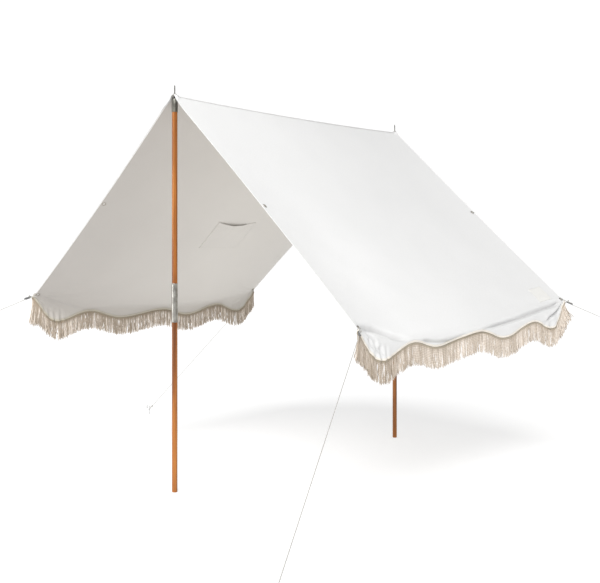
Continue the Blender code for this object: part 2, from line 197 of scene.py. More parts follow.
# Extra length of the strands at the front and rear corners, as a share
CORNER_LENGTHS = {"left": (0.42, 0.05), "right": (0.16, 0.02)}

# Stitches, and how far each row of them lies off the line that it is sewn along
STITCH_STEP = 0.0060
STITCH_LENGTH = 0.0042
THREAD_HALF = 0.00042
BEHIND_EDGE = 0.0024
OFF_BINDING = 0.0027
OFF_SEAM = 0.0009
OFF_POCKET = 0.0006
OFF_PATCH = 0.0002


def mix(a, b, t):
    return a + (b - a) * t


def arch(t):
    """Zero at both ends and one half way."""
    return 4.0 * t * (1.0 - t)


def ease(low, high, value):
    """Zero below low, one above high, smooth between."""
    t = np.clip((np.asarray(value, float) - low) / (high - low), 0.0, 1.0)
    return t * t * (3.0 - 2.0 * t)


def bell(value, middle, width):
    return np.exp(-((value - middle) / width) ** 2)


def stack(x, y, z):
    return np.stack(np.broadcast_arrays(x, y, z), axis=-1).astype(float)


def unit(vectors):
    return vectors / np.maximum(np.linalg.norm(vectors, axis=-1, keepdims=True), 1e-12)


def paired(along, down):
    """Two spreads of numbers brought to one grid of pairs."""
    return np.stack(np.broadcast_arrays(along, down), axis=-1)


def resampled(values, source, places):
    """Points or directions known at source, read off at other places."""
    return np.stack([np.interp(places, source, values[:, k]) for k in range(3)], axis=-1)


def bent(start, middle, stop, q):
    """A soft corner from start at 0 to stop at 1, drawn towards middle."""
    return (1 - q) ** 2 * start + 2 * q * (1 - q) * middle + q ** 2 * stop


def inward(side):
    """Square to a roof panel, into the tent."""
    return np.array((-side * 0.67, 0.0, -0.74))


# Shader maths

class Tone:
    """A socket of a finish. Sums on tones add the nodes that work them out."""

    def __init__(self, finish, socket):
        self.finish = finish
        self.socket = socket

    def work(self, operation, *values):
        return self.finish.node("ShaderNodeMath", {"operation": operation}, dict(enumerate(values)))

    def __add__(self, other):
        return self.work("ADD", self, other)

    __radd__ = __add__

    def __mul__(self, other):
        return self.work("MULTIPLY", self, other)

    __rmul__ = __mul__

    def __sub__(self, other):
        return self.work("SUBTRACT", self, other)

    def __rsub__(self, other):
        return self.work("SUBTRACT", other, self)

    def __truediv__(self, other):
        return self.work("DIVIDE", self, other)

    def sine(self):
        return self.work("SINE", self)

    def size(self):
        return self.work("ABSOLUTE", self)

    def least(self, other):
        return self.work("MINIMUM", self, other)

    def most(self, other):
        return self.work("MAXIMUM", self, other)

    def rise(self, low, high):
        """Zero below low, one above high."""
        return self.finish.node(
            "ShaderNodeMapRange", {"interpolation_type": "SMOOTHSTEP"}, {0: self, 1: low, 2: high})


class Finish:
    """One material and the nodes that feed its shader."""

    def __init__(self, name, colour=(0.8, 0.8, 0.8), roughness=0.5, **plain):
        self.material = bpy.data.materials.new(name)
        self.material.use_nodes = True
        self.tree = self.material.node_tree
        self.shader = self.tree.nodes["Principled BSDF"]
        self.set("Base Color", colour)
        self.set("Roughness", roughness)
        for socket, value in plain.items():
            self.set(socket.replace("_", " "), value)

    def feed(self, socket, value):
        if isinstance(value, Tone):
            self.tree.links.new(value.socket, socket)
        elif isinstance(value, tuple) and socket.type == "RGBA":
            socket.default_value = (*value[:3], 1.0)
        else:
            socket.default_value = value

    def set(self, name, value):
        self.feed(self.shader.inputs[name], value)

    def node(self, kind, settings=None, sockets=None, output=0):
        made = self.tree.nodes.new(kind)
        for name, value in (settings or {}).items():
            if name == "stops":
                ramp = made.color_ramp
                while len(ramp.elements) < len(value):
                    ramp.elements.new(1.0)
                for element, (place, colour) in zip(ramp.elements, value):
                    element.position = place
                    element.color = (*colour, 1.0)
            else:
                setattr(made, name, value)
        for name, value in (sockets or {}).items():
            self.feed(made.inputs[name], value)
        return Tone(self, made.outputs[output])

    def place(self):
        """The point being shaded, in metres."""
        return self.node("ShaderNodeTexCoord", output="Object")

    def along_cloth(self):
        """Metres along and across the cloth or cord."""
        return self.node("ShaderNodeUVMap", {"uv_map": "lay"})

    def own_tone(self):
        """The tone that the points of a piece carry."""
        return self.node("ShaderNodeAttribute", {"attribute_name": "tone"}, output="Fac")

    def part(self, vector, axis):
        return self.node("ShaderNodeSeparateXYZ", None, {0: vector}, output=axis)

    def stretched(self, vector, scale):
        return self.node("ShaderNodeMapping", None, {"Vector": vector, "Scale": scale})

    def noise(self, vector, scale, detail=3.0, roughness=0.5):
        return self.node("ShaderNodeTexNoise", None, {
            "Vector": vector, "Scale": scale, "Detail": detail, "Roughness": roughness})

    def blend(self, share, a, b, kind="MIX"):
        return self.node(
            "ShaderNodeMix", {"data_type": "RGBA", "blend_type": kind},
            {0: share, 6: a, 7: b}, output=2)

    def bump(self, height, distance, strength=1.0, over=None):
        sockets = {"Height": height, "Distance": distance, "Strength": strength}
        if over is not None:
            sockets["Normal"] = over
        return self.node("ShaderNodeBump", None, sockets)


def woven(finish, lay, pitch):
    """Height of a plain weave with threads that far apart."""
    turn = 2.0 * math.pi / pitch
    across = (finish.part(lay, 0) * turn).sine()
    down = (finish.part(lay, 1) * turn).sine()
    return across * down


def canvas_finish(name, rear, front, hem, valance_shade_colour, shading_along, shading_to_ridge, valance_shade_fade):
    """Plain-woven cotton. Its colour drifts from the front eave to the rear and the ridge: painted light and
    shade.

    The doubled edges have their own colour. Painted shade darkens the valances and the long folds.
    """
    finish = Finish(name, roughness=0.92)
    place = finish.place()
    lay = finish.along_cloth()
    clouds = finish.noise(place, 1.6, 3.0, 0.5)
    along = finish.part(lay, 0)
    from_ridge = (finish.part(lay, 1) - CLOTH_DROP).size()
    # Painted light and shade: the colour drifts from the front eave to the rear and the ridge.
    drift = along * (shading_along / CLOTH_WIDTH) + (1.0 - from_ridge / CLOTH_DROP) * shading_to_ridge
    drift = drift + (clouds - 0.5) * 0.35
    from_middle = (along - CLOTH_WIDTH / 2).size()
    doubled_from = CLOTH_WIDTH / 2 - EDGE_TURN
    doubled = from_middle.rise(doubled_from - 0.0005, doubled_from + 0.0005)
    slubs = finish.noise(finish.stretched(lay, (70.0, 900.0, 1.0)), 1.0, 2.0)
    slubs_across = finish.noise(finish.stretched(lay, (900.0, 70.0, 1.0)), 1.0, 2.0)
    colour = finish.blend(drift.most(0.0).least(MOST_SHADING_DRIFT), front, rear)
    colour = finish.blend(doubled * 0.8, colour, hem)
    # Painted shade on the valances, strongest towards the front.
    painted_shade = from_ridge.rise(VALANCE_FROM, VALANCE_FROM + 0.07)
    patchy = 1.1 - along * (valance_shade_fade / CLOTH_WIDTH) + (clouds - 0.5) * 0.6
    painted_shade = painted_shade * patchy.least(1.0)
    colour = finish.blend(painted_shade, colour, valance_shade_colour)
    # Painted shade in the long folds, carried in the points' tone.
    tone = finish.own_tone()
    fold_shade = (tone - 0.5).most(0.0) * 2.0
    colour = finish.blend(fold_shade * FOLD_SHADE_STRENGTH, colour, (0.0, 0.0, 0.0))
    threads = (slubs + slubs_across).rise(0.7, 1.35)
    colour = finish.blend(threads * 0.10, colour, (0.60, 0.58, 0.54))
    finish.set("Base Color", colour)
    finish.set("Roughness", 0.86 + threads * 0.10)
    creases = finish.noise(finish.stretched(place, (7.0, 4.0, 6.0)), 1.0, 5.0, 0.55)
    soft = finish.bump(creases, 0.010, 0.35)
    rough = finish.bump(slubs + slubs_across, 0.0004, 0.6, over=soft)
    finish.set("Normal", finish.bump(woven(finish, lay, 0.0011), 0.00012, 0.5, over=rough))
    finish.set("Sheen Weight", 0.15)
    return finish.material


def yarn_finish(name, dark, light, pitch, stripes):
    """Twisted cotton: the plies run slantwise round the cord."""
    finish = Finish(name, roughness=0.95, Sheen_Weight=0.25)
    lay = finish.along_cloth()
    round_it = finish.part(lay, 0) * (2.0 * math.pi * stripes)
    ply = (round_it + finish.part(lay, 1) * (2.0 * math.pi / pitch)).sine()
    tone = finish.own_tone()
    fuzz = finish.noise(finish.place(), 600.0, 2.0)
    colour = finish.blend(tone, dark, light)
    # Painted shade darkens the grooves between the plies.
    groove_shade = (1.0 - ply.rise(-1.0, 0.1)) * 0.55
    finish.set("Base Color", finish.blend(groove_shade, colour, dark, "MULTIPLY"))
    finish.set("Roughness", 0.88 + fuzz * 0.1)
    twisted = finish.bump(ply, 0.0005, 0.8)
    finish.set("Normal", finish.bump(fuzz, 0.0003, 0.5, over=twisted))
    return finish.material


def braid_finish():
    """Woven cotton tape with a fine herringbone, and painted shade on its inner face from its tone."""
    finish = Finish("cotton_tape", roughness=0.93, Sheen_Weight=0.2)
    lay = finish.along_cloth()
    along = finish.part(lay, 0)
    across = finish.part(lay, 1)
    slant = (along * 3200.0 + (across * 900.0).sine() * 2.4).sine()
    clouds = finish.noise(finish.place(), 60.0, 3.0)
    colour = finish.blend(clouds.rise(0.3, 0.7), (0.95, 0.89, 0.80), (0.99, 0.95, 0.89))
    colour = finish.blend(slant.rise(-1.0, -0.4), (0.84, 0.76, 0.65), colour)
    # Painted shade: a low tone darkens the tape's inner face.
    tone = finish.own_tone()
    finish.set("Base Color", finish.blend(tone, (0.56, 0.52, 0.43), colour))
    finish.set("Normal", finish.bump(slant, 0.0003, 0.7))
    return finish.material


def wood_finish():
    finish = Finish("oiled_hardwood", roughness=0.4, Coat_Weight=0.3, Coat_Roughness=0.22,
                    Specular_IOR_Level=0.3)
    place = finish.place()
    drift = finish.noise(finish.stretched(place, (18.0, 18.0, 1.3)), 1.0, 3.0)
    bands = finish.noise(finish.stretched(place, (170.0, 170.0, 2.6)), 1.0, 4.0, 0.6)
    pores = finish.noise(finish.stretched(place, (900.0, 900.0, 22.0)), 1.0, 2.0)
    grain = (bands * 0.75 + drift * 0.45).rise(0.35, 0.82)
    colour = finish.node("ShaderNodeValToRGB", {"stops": (
        (0.0, (0.11, 0.030, 0.004)), (0.42, (0.265, 0.082, 0.012)),
        (0.72, (0.395, 0.135, 0.020)), (1.0, (0.53, 0.205, 0.038)))}, {0: grain})
    dark_pores = pores.rise(0.62, 0.74) * 0.55
    finish.set("Base Color", finish.blend(dark_pores, colour, (0.12, 0.035, 0.010)))
    finish.set("Roughness", 0.34 + dark_pores * 0.3 + drift * 0.12)
    finish.set("Normal", finish.bump(bands - dark_pores, 0.0004, 0.35))
    return finish.material


def steel_finish(name, light, dark, roughness, scratch):
    finish = Finish(name, light, roughness, Metallic=1.0)
    place = finish.place()
    clouds = finish.noise(place, 35.0, 4.0)
    brushed = finish.noise(finish.stretched(place, scratch), 1.0, 3.0)
    worn = finish.noise(place, 160.0, 5.0).rise(0.58, 0.75)
    colour = finish.blend(clouds.rise(0.3, 0.7), dark, light)
    finish.set("Base Color", finish.blend(worn * 0.35, colour, dark))
    finish.set("Roughness", roughness + brushed * 0.16 + worn * 0.1)
    finish.set("Normal", finish.bump(brushed, 0.0001, 0.4))
    return finish.material


def moulded_finish():
    finish = Finish("moulded_grey_plastic", (0.055, 0.055, 0.058), 0.5)
    place = finish.place()
    grain = finish.noise(place, 1400.0, 2.0)
    rubbed = finish.noise(place, 90.0, 3.0).rise(0.5, 0.8)
    finish.set("Base Color", finish.blend(rubbed * 0.4, (0.15, 0.15, 0.152), (0.30, 0.30, 0.30)))
    finish.set("Roughness", 0.42 + grain * 0.2)
    finish.set("Normal", finish.bump(grain, 0.0001, 0.5))
    return finish.material


def rubber_finish():
    finish = Finish("black_rubber", (0.012, 0.012, 0.012), 0.7)
    grain = finish.noise(finish.place(), 900.0, 3.0)
    finish.set("Base Color", finish.blend(grain, (0.008, 0.008, 0.008), (0.022, 0.021, 0.020)))
    finish.set("Roughness", 0.6 + grain * 0.2)
    return finish.material


def thread_finish(name, light, dark):
    finish = Finish(name, light, 0.85, Sheen_Weight=0.2)
    ply = finish.noise(finish.stretched(finish.place(), (900.0, 900.0, 900.0)), 1.0, 1.0)
    finish.set("Base Color", finish.blend(ply.rise(0.35, 0.65), dark, light))
    finish.set("Normal", finish.bump(ply, 0.0002, 0.5))
    return finish.material


# Outside: painted light at the front eave, painted shade towards the rear and ridge and on the valances.
CANVAS_OUTSIDE = canvas_finish(
    "canvas_outside", (0.705, 0.705, 0.703), (0.965, 0.965, 0.96), (0.98, 0.98, 0.975),
    (0.80, 0.80, 0.795), 0.95, 0.12, 0.8)
# Inside: a darker copy of the canvas, painted shade, darkest at the front eave and on the valances.
SHADED_CANVAS_INSIDE = canvas_finish(
    "canvas_inside_painted_shade", (0.715, 0.69, 0.648), (0.465, 0.438, 0.412), (0.72, 0.69, 0.65),
    (0.56, 0.53, 0.49), 1.1, 0.5, 0.3)
PATCH_COTTON = canvas_finish(
    "patch_cotton", (0.80, 0.793, 0.768), (0.75, 0.742, 0.715), (0.86, 0.85, 0.83),
    (0.80, 0.79, 0.76), 0.6, 0.4, 0.3)
FRINGE_COTTON = yarn_finish("fringe_cotton", (0.42, 0.335, 0.242), (0.99, 0.915, 0.835), 0.008, 1)
HEADER_COTTON = yarn_finish("header_cotton", (0.30, 0.25, 0.18), (0.55, 0.48, 0.37), 0.006, 1)
ROPE_COTTON = yarn_finish("rope_cotton", (0.38, 0.37, 0.34), (0.66, 0.65, 0.62), 0.009, 1)
TAPE_COTTON = braid_finish()
POLE_WOOD = wood_finish()
POLE_STEEL = steel_finish(
    "dull_steel", (0.46, 0.45, 0.415), (0.29, 0.28, 0.255), 0.22, (30.0, 30.0, 900.0))
# The ferrule's steel: a darker copy of the pole steel, painted shade under the roof.
SHADED_TIP_STEEL = steel_finish(
    "tip_steel_painted_shade", (0.215, 0.21, 0.185), (0.12, 0.115, 0.10), 0.40, (30.0, 30.0, 900.0))
EYELET_STEEL = steel_finish(
    "eyelet_steel", (0.55, 0.51, 0.45), (0.28, 0.26, 0.22), 0.34, (500.0, 500.0, 500.0))
PEG_STEEL = steel_finish(
    "galvanised_steel", (0.86, 0.86, 0.855), (0.66, 0.66, 0.655), 0.5, (300.0, 300.0, 60.0))
BAR_PLASTIC = moulded_finish()
RUBBER = rubber_finish()
SEWING_THREAD = thread_finish("sewing_thread", (0.80, 0.78, 0.73), (0.58, 0.56, 0.51))


# Mesh helpers

def linked(name, data):
    thing = bpy.data.objects.new(name, data)
    bpy.context.scene.collection.objects.link(thing)
    return thing


class Parts:
    """Points and faces gathered for one mesh, with its lay in metres and its tones."""

    def __init__(self):
        self.points = []
        self.faces = []
        self.lay = []
        self.tones = []
        self.kinds = []
        self.count = 0

    def add(self, points, faces, lay=None, tone=0.5, kind=0):
        points = np.asarray(points, float).reshape(-1, 3)
        lay = np.zeros((len(points), 2)) if lay is None else np.asarray(lay, float).reshape(-1, 2)
        tones = np.broadcast_to(np.asarray(tone, float).reshape(-1), (len(points),))
        self.points.append(points)
        self.lay.append(lay)
        self.tones.append(tones)
        self.faces += [tuple(int(i) + self.count for i in face) for face in faces]
        self.kinds += [kind] * len(faces)
        self.count += len(points)

    def piece(self, name, materials):
        mesh = bpy.data.meshes.new(name)
        mesh.from_pydata(np.concatenate(self.points).tolist(), [], self.faces)
        lay = np.concatenate(self.lay)
        corners = np.zeros(len(mesh.loops), np.int32)
        mesh.loops.foreach_get("vertex_index", corners)
        layer = mesh.uv_layers.new(name="lay")
        layer.uv.foreach_set("vector", lay[corners].astype(np.float32).ravel())
        tones = mesh.attributes.new("tone", "FLOAT", "POINT")
        tones.data.foreach_set("value", np.concatenate(self.tones).astype(np.float32))
        mesh.polygons.foreach_set("material_index", np.array(self.kinds, np.int32))
        mesh.polygons.foreach_set("use_smooth", np.full(len(self.faces), True))
        for material in materials:
            mesh.materials.append(material)
        mesh.update()
        thing = linked(name, mesh)
        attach(thing, "root")
        return thing


def grid_faces(rows, columns, round_columns=False, round_rows=False, flip=False):
    across = columns if round_columns else columns - 1
    down = rows if round_rows else rows - 1
    r, c = np.meshgrid(np.arange(down), np.arange(across), indexing="ij")
    r, c = r.ravel(), c.ravel()
    r1, c1 = (r + 1) % rows, (c + 1) % columns
    quads = np.stack([r * columns + c, r * columns + c1, r1 * columns + c1, r1 * columns + c], axis=1)
    return (quads[:, ::-1] if flip else quads).tolist()


def end_faces(count, last, flip):
    """The two faces that close a run of rings. The last ring's points start at last."""
    first_face = list(range(count))
    last_face = [last + index for index in first_face]
    return [first_face, last_face[::-1]] if flip else [first_face[::-1], last_face]


def path_lengths(path):
    steps = np.linalg.norm(np.diff(path, axis=0), axis=1)
    return np.concatenate([[0.0], np.cumsum(steps)])


def evenly(path, step):
    """The same path with points that far apart."""
    lengths = path_lengths(path)
    count = max(2, int(round(lengths[-1] / step)) + 1)
    places = np.linspace(0.0, lengths[-1], count)
    return resampled(path, lengths, places)


def smooth_path(points, pieces):
    """Points on a curve that passes through all the given ones."""
    points = np.asarray(points, float)
    padded = np.concatenate([points[:1], points, points[-1:]])
    path = []
    for p0, p1, p2, p3 in zip(padded, padded[1:], padded[2:], padded[3:]):
        for piece in range(pieces):
            t = piece / pieces
            path.append(0.5 * (2 * p1 + (p2 - p0) * t + (2 * p0 - 5 * p1 + 4 * p2 - p3) * t ** 2
                               + (3 * p1 - p0 - 3 * p2 + p3) * t ** 3))
    path.append(points[-1])
    return np.array(path)


def carried_frames(path, hint):
    """Two directions across the path at each point, turning as little as they can."""
    ahead = unit(np.gradient(path, axis=0))
    across = np.zeros_like(path)
    current = np.asarray(hint, float)
    for index, direction in enumerate(ahead):
        current = current - direction * current.dot(direction)
        current = current / max(np.linalg.norm(current), 1e-12)
        across[index] = current
    return across, np.cross(ahead, across)


def add_tube(parts, path, radius, sides, hint, tone=0.5):
    """A round cord or rod along path, closed at both ends. radius may vary along it."""
    path = np.asarray(path, float)
    across, up = carried_frames(path, hint)
    radii = np.broadcast_to(np.asarray(radius, float), (len(path),))
    angle = np.linspace(0.0, 2.0 * math.pi, sides + 1)
    ring = across[:, None] * np.cos(angle)[None, :, None] + up[:, None] * np.sin(angle)[None, :, None]
    points = path[:, None] + ring * radii[:, None, None]
    lay = paired(angle[None, :] / (2.0 * math.pi), path_lengths(path)[:, None])
    rings = len(path)
    faces = grid_faces(rings, sides + 1) + end_faces(sides, (rings - 1) * (sides + 1), False)
    parts.add(points, faces, lay, tone)


def thicken(thing, thickness, offset):
    solid = thing.modifiers.new("thickness", "SOLIDIFY")
    solid.thickness = thickness
    solid.offset = offset
    return solid


def weld(thing, distance=0.00002):
    """Joins points that lie on each other."""
    bm = bmesh.new()
    bm.from_mesh(thing.data)
    bmesh.ops.remove_doubles(bm, verts=bm.verts, dist=distance)
    bm.to_mesh(thing.data)
    bm.free()


def downward(ahead, out):
    down = np.cross(ahead, out)
    return down * np.where(down[:, 2:3] > 0, -1.0, 1.0)


def add_band(parts, path, out, profile, tone):
    """A closed profile of (outward, downward) places carried along path."""
    path = np.asarray(path, float)
    ahead = unit(np.gradient(path, axis=0))
    out = unit(out - ahead * np.sum(out * ahead, axis=1, keepdims=True))
    down = downward(ahead, out)
    profile = np.asarray(profile, float)
    if profile.ndim == 2:
        profile = np.broadcast_to(profile, (len(path), *profile.shape))
    points = path[:, None] + out[:, None] * profile[..., :1] + down[:, None] * profile[..., 1:]
    lay = paired(path_lengths(path)[:, None], profile[..., 1])
    count = profile.shape[1]
    spin = np.cross(out[0], down[0]).dot(ahead[0]) > 0
    area = np.sum(profile[0, :, 0] * np.roll(profile[0, :, 1], -1)
                  - np.roll(profile[0, :, 0], -1) * profile[0, :, 1])
    flip = spin == (area > 0)
    faces = grid_faces(len(path), count, round_columns=True, flip=flip)
    faces += end_faces(count, (len(path) - 1) * count, flip)
    parts.add(points, faces, lay, tone)


def add_turned(parts, profile, origin, axis, steps, closed, kind=0):
    """A turned piece from a profile of radius and height about an axis."""
    profile = np.asarray(profile, float)
    axis = unit(np.asarray(axis, float))
    hint = np.array((1.0, 0.0, 0.0)) if abs(axis[0]) < 0.9 else np.array((0.0, 1.0, 0.0))
    across = unit(hint - axis * hint.dot(axis))
    up = np.cross(axis, across)
    angle = np.arange(steps) * (2.0 * math.pi / steps)
    ring = across[None] * np.cos(angle)[:, None] + up[None] * np.sin(angle)[:, None]
    points = (np.asarray(origin, float) + profile[:, None, :1] * ring[None]
              + profile[:, None, 1:] * axis[None, None])
    lay = paired(angle[None] * 0.01, path_lengths(np.pad(profile, ((0, 0), (0, 1))))[:, None])
    area = np.sum(profile[:, 0] * np.roll(profile[:, 1], -1) - np.roll(profile[:, 0], -1) * profile[:, 1])
    flip = not area < 0
    count = len(profile)
    faces = grid_faces(count, steps, round_columns=True, round_rows=closed, flip=flip)
    if not closed:
        faces += end_faces(steps, (count - 1) * steps, flip)
    parts.add(points, faces, lay, 0.5, kind)


def rounded(profile, radius, steps):
    """A closed profile of straight runs with its corners rounded."""
    profile = np.asarray(profile, float)
    result = []
    for before, here, after in zip(np.roll(profile, 1, axis=0), profile, np.roll(profile, -1, axis=0)):
        reach_back = min(radius, 0.45 * np.linalg.norm(before - here))
        reach_on = min(radius, 0.45 * np.linalg.norm(after - here))
        start = here + unit(before - here) * reach_back
        stop = here + unit(after - here) * reach_on
        for t in np.linspace(0.0, 1.0, steps + 1):
            result.append(bent(start, here, stop, t))
    return np.array(result)


# The stretched canvas: u runs from the front edge to the rear edge,
# v from the ridge (0) to the eave fold (1).

def eave_corner(side_name, end_name):
    eyelet = np.array(EAVE_EYELETS[end_name + "_" + side_name])
    ridge = np.array((0.0, eyelet[1], RIDGE_HEIGHT))
    along = np.array((0.0, math.copysign(1.0, eyelet[1]), 0.0))
    return eyelet + (unit(eyelet - ridge) + along) * BEYOND_EYELET


def eave_line(side_name, u):
    start = eave_corner(side_name, "front")
    stop = eave_corner(side_name, "rear")
    return mix(start, stop, np.asarray(u, float)[..., None])


def ridge_line(u):
    y = mix(-CLOTH_WIDTH / 2, CLOTH_WIDTH / 2, u)
    return stack(0.0, y, RIDGE_HEIGHT - RIDGE_SAG * arch(u))


def fold_share(u):
    front = np.minimum(1.0, u / FOLD_FRONT_RUN)
    rear = np.minimum(1.0, (1.0 - u) / FOLD_REAR_RUN)
    return (1.0 - (1.0 - front) ** 2) * (1.0 - (1.0 - rear) ** 2)


def fold_line(side_name, u):
    u = np.clip(np.asarray(u, float), 0.0, 1.0)
    share = fold_share(u)
    return eave_line(side_name, u) + stack(-SIDES[side_name] * HEM_TUCK * share, 0.0, -FOLD_DROP * share)


def hem_drop(side_name, u):
    u = np.asarray(u, float)
    places = np.array(HEM_WAVES[side_name])
    index = np.clip(np.searchsorted(places[:, 0], u, side="left") - 1, 0, len(places) - 2)
    u0, drop0 = places[index, 0], places[index, 1]
    u1, drop1 = places[index + 1, 0], places[index + 1, 1]
    t = (u - u0) / (u1 - u0)
    eased = np.where(
        index == 0, np.sin(t * math.pi / 2),
        np.where(index == len(places) - 2, 1.0 - np.cos(t * math.pi / 2),
                 0.5 - 0.5 * np.cos(t * math.pi)))
    return mix(drop0, drop1, eased)


def hem_line(side_name, u):
    u = np.asarray(u, float)
    point = eave_line(side_name, u)
    point = point + stack(-SIDES[side_name] * HEM_TUCK * fold_share(u), 0.0, -hem_drop(side_name, u))
    limit = fold_line(side_name, u)[..., 2] - LEAST_VALANCE
    point[..., 2] = np.minimum(point[..., 2], limit)
    return point


def corner_pull(side_name, u):
    """How far the eave is drawn up the slope towards its eyelets, as a share of the slope."""
    near = np.minimum(u, 1.0 - u)
    slope = np.linalg.norm(fold_line(side_name, u) - ridge_line(u), axis=-1)
    return CORNER_PULL * (1.0 - ease(0.018, 0.075, near)) / slope


def panel(side_name, u, v):
    """The outside of a roof panel, without its creases."""
    u, v = np.broadcast_arrays(np.asarray(u, float), np.asarray(v, float))
    top = ridge_line(u)
    point = top + (fold_line(side_name, u) - top) * v[..., None]
    point[..., 1] += EDGE_CURVE * arch(v) * (1.0 - 2.0 * u)
    return point + inward(SIDES[side_name]) * (PANEL_SAG * arch(v) * arch(u))[..., None]


def panel_normal(side_name, u, v):
    step = 0.004
    along = panel(side_name, np.minimum(u + step, 1.0), v) - panel(side_name, np.maximum(u - step, 0.0), v)
    down = panel(side_name, u, np.minimum(v + step, 1.0)) - panel(side_name, u, np.maximum(v - step, 0.0))
    return unit(np.cross(down, along) * SIDES[side_name])


def panel_place(side_name, y, slope):
    """u and v of spots given by their y and their distance down the slope."""
    y, slope = np.broadcast_arrays(np.asarray(y, float), np.asarray(slope, float))
    u = np.full(y.shape, 0.5)
    v = np.full(y.shape, 0.5)
    for _ in range(14):
        here = panel(side_name, u, v)
        width = panel(side_name, 1.0, v)[..., 1] - panel(side_name, 0.0, v)[..., 1]
        height = np.linalg.norm(panel(side_name, u, 1.0) - panel(side_name, u, 0.0), axis=-1)
        u = u + (y - here[..., 1]) / width
        v = slope / height
    return u, v


def eyelet_places():
    """Side, u and v of every eyelet in the roof panels."""
    places = {}
    for side_name in SIDES:
        for end_name, edge in (("front", 0.0), ("rear", 1.0)):
            corner = end_name + "_" + side_name
            eyelet = np.array(EAVE_EYELETS[corner])
            slope = np.linalg.norm(eyelet - (0.0, eyelet[1], RIDGE_HEIGHT))
            u, v = panel_place(side_name, eyelet[1], slope)
            places["corner_eyelet_" + corner] = (side_name, float(u), float(v))
            inset = EDGE_EYELET_INSET / (RIDGE_LENGTH - 2 * EDGE_CURVE)
            places["edge_eyelet_" + corner] = (side_name, abs(edge - inset), EDGE_EYELET_AT)
    return places


EYELETS = eyelet_places()


def eyelet_axis(name):
    """Middle of the cloth at an eyelet, and the outward normal there."""
    side_name, u, v = EYELETS[name]
    normal = panel_normal(side_name, u, v)
    return panel(side_name, u, v) - normal * 0.0010, normal


# Creases of the canvas. Angles are at the eave corners, in degrees from the eave
# line, positive into the valance and negative up the roof.
# Each crease: angle, width in degrees, height outward and reach in metres.
CREASES = {
    "front_right": (
        (24.0, 7.0, 0.0040, 0.36), (-16.0, 5.0, -0.0016, 0.60),
        (-30.0, 6.0, 0.0016, 0.70), (-47.0, 7.0, -0.0012, 0.80)),
    "rear_right": (
        (11.0, 4.0, 0.0060, 0.50), (36.0, 7.0, 0.0050, 0.36), (-14.0, 5.0, -0.0022, 0.70),
        (-26.0, 6.0, 0.0016, 0.80)),
    "front_left": (
        (18.0, 6.0, 0.0040, 0.40), (36.0, 7.0, -0.0040, 0.28), (-15.0, 4.5, -0.0030, 0.70),
        (-25.0, 5.0, 0.0028, 0.80), (-38.0, 6.0, -0.0016, 0.80)),
    "rear_left": (
        (14.0, 5.0, 0.0050, 0.45), (30.0, 5.0, -0.0040, 0.36), (-15.0, 5.0, -0.0028, 0.70),
        (-28.0, 6.0, 0.0024, 0.80)),
}


# Folds that wander over the cloth: half width, height outward, then the places they pass
# through, each as metres from the front edge and metres below the fold.
LONG_FOLDS = {
    "right": (
        (0.0170, -0.0230, ((0.000, 0.000), (0.030, -0.014), (0.064, -0.035), (0.134, -0.055), (0.186, -0.055),
                           (0.256, -0.042), (0.308, -0.022), (0.380, -0.005), (0.430, -0.006))),
        (0.0120, -0.0130, ((0.060, -0.014), (0.090, -0.004), (0.116, 0.006), (0.134, 0.024), (0.142, 0.044),
                           (0.160, 0.064), (0.186, 0.092))),
        (0.0090, -0.0080, ((0.162, 0.036), (0.176, 0.052), (0.192, 0.068), (0.206, 0.088))),
        (0.0090, -0.0080, ((0.080, 0.018), (0.098, 0.040), (0.128, 0.064))),
        (0.0100, -0.0110, ((0.520, 0.012), (0.570, 0.022), (0.657, 0.037), (0.779, 0.040), (0.884, 0.030),
                           (0.960, 0.012))),
        (0.0130, -0.0190, ((2.064, 0.000), (2.030, 0.000), (1.930, -0.013), (1.826, -0.019), (1.651, -0.019),
                           (1.459, -0.010), (1.302, -0.003), (1.163, 0.009), (1.050, 0.016))),
        (0.0095, -0.0130, ((2.055, 0.008), (2.022, 0.024), (1.965, 0.036), (1.860, 0.048), (1.791, 0.070)))),
    "left": (
        (0.0130, -0.0040, ((0.000, 0.000), (0.042, -0.024), (0.116, -0.036), (0.186, -0.035), (0.273, -0.016),
                           (0.343, 0.000), (0.420, 0.012))),
        (0.0100, -0.0035, ((2.060, 0.004), (2.022, 0.015), (1.913, 0.029), (1.808, 0.048)))),
}


def fold_trace(along, below, places, half):
    """One along a chain of places, soft to its sides and dying out at both ends."""
    nearest = np.full(np.broadcast(along, below).shape, 1e3)
    share = np.zeros(nearest.shape)
    for index in range(len(places) - 1):
        start = np.array(places[index])
        step = np.array(places[index + 1]) - start
        t = np.clip(((along - start[0]) * step[0] + (below - start[1]) * step[1]) / (step @ step), 0.0, 1.0)
        far = np.hypot(along - start[0] - t * step[0], below - start[1] - t * step[1])
        share = np.where(far < nearest, (index + t) / (len(places) - 1), share)
        nearest = np.minimum(nearest, far)
    return bell(nearest, 0.0, half) * ease(0.0, 0.22, share) * ease(0.0, 0.25, 1.0 - share)


def crease_height(side_name, u, below):
    """How far the cloth stands outward of its plain shape. below is metres under the fold."""
    height = np.zeros(np.broadcast(u, below).shape)
    for end_name in ("front", "rear"):
        along = (u if end_name == "front" else 1.0 - u) * CLOTH_WIDTH
        far = np.hypot(along, below)
        angle = np.degrees(np.arctan2(below, np.maximum(along, 1e-6)))
        for middle, width, tall, reach in CREASES[end_name + "_" + side_name]:
            peak = reach / 3.2
            fade = (far / peak) * np.exp(1.0 - far / peak) * (1.0 - ease(0.75 * reach, 1.25 * reach, far))
            height += tall * fade * bell(angle, middle, width)
    for half, tall, places in LONG_FOLDS[side_name]:
        height += tall * fold_trace(u * CLOTH_WIDTH, below, places, half)
    return height


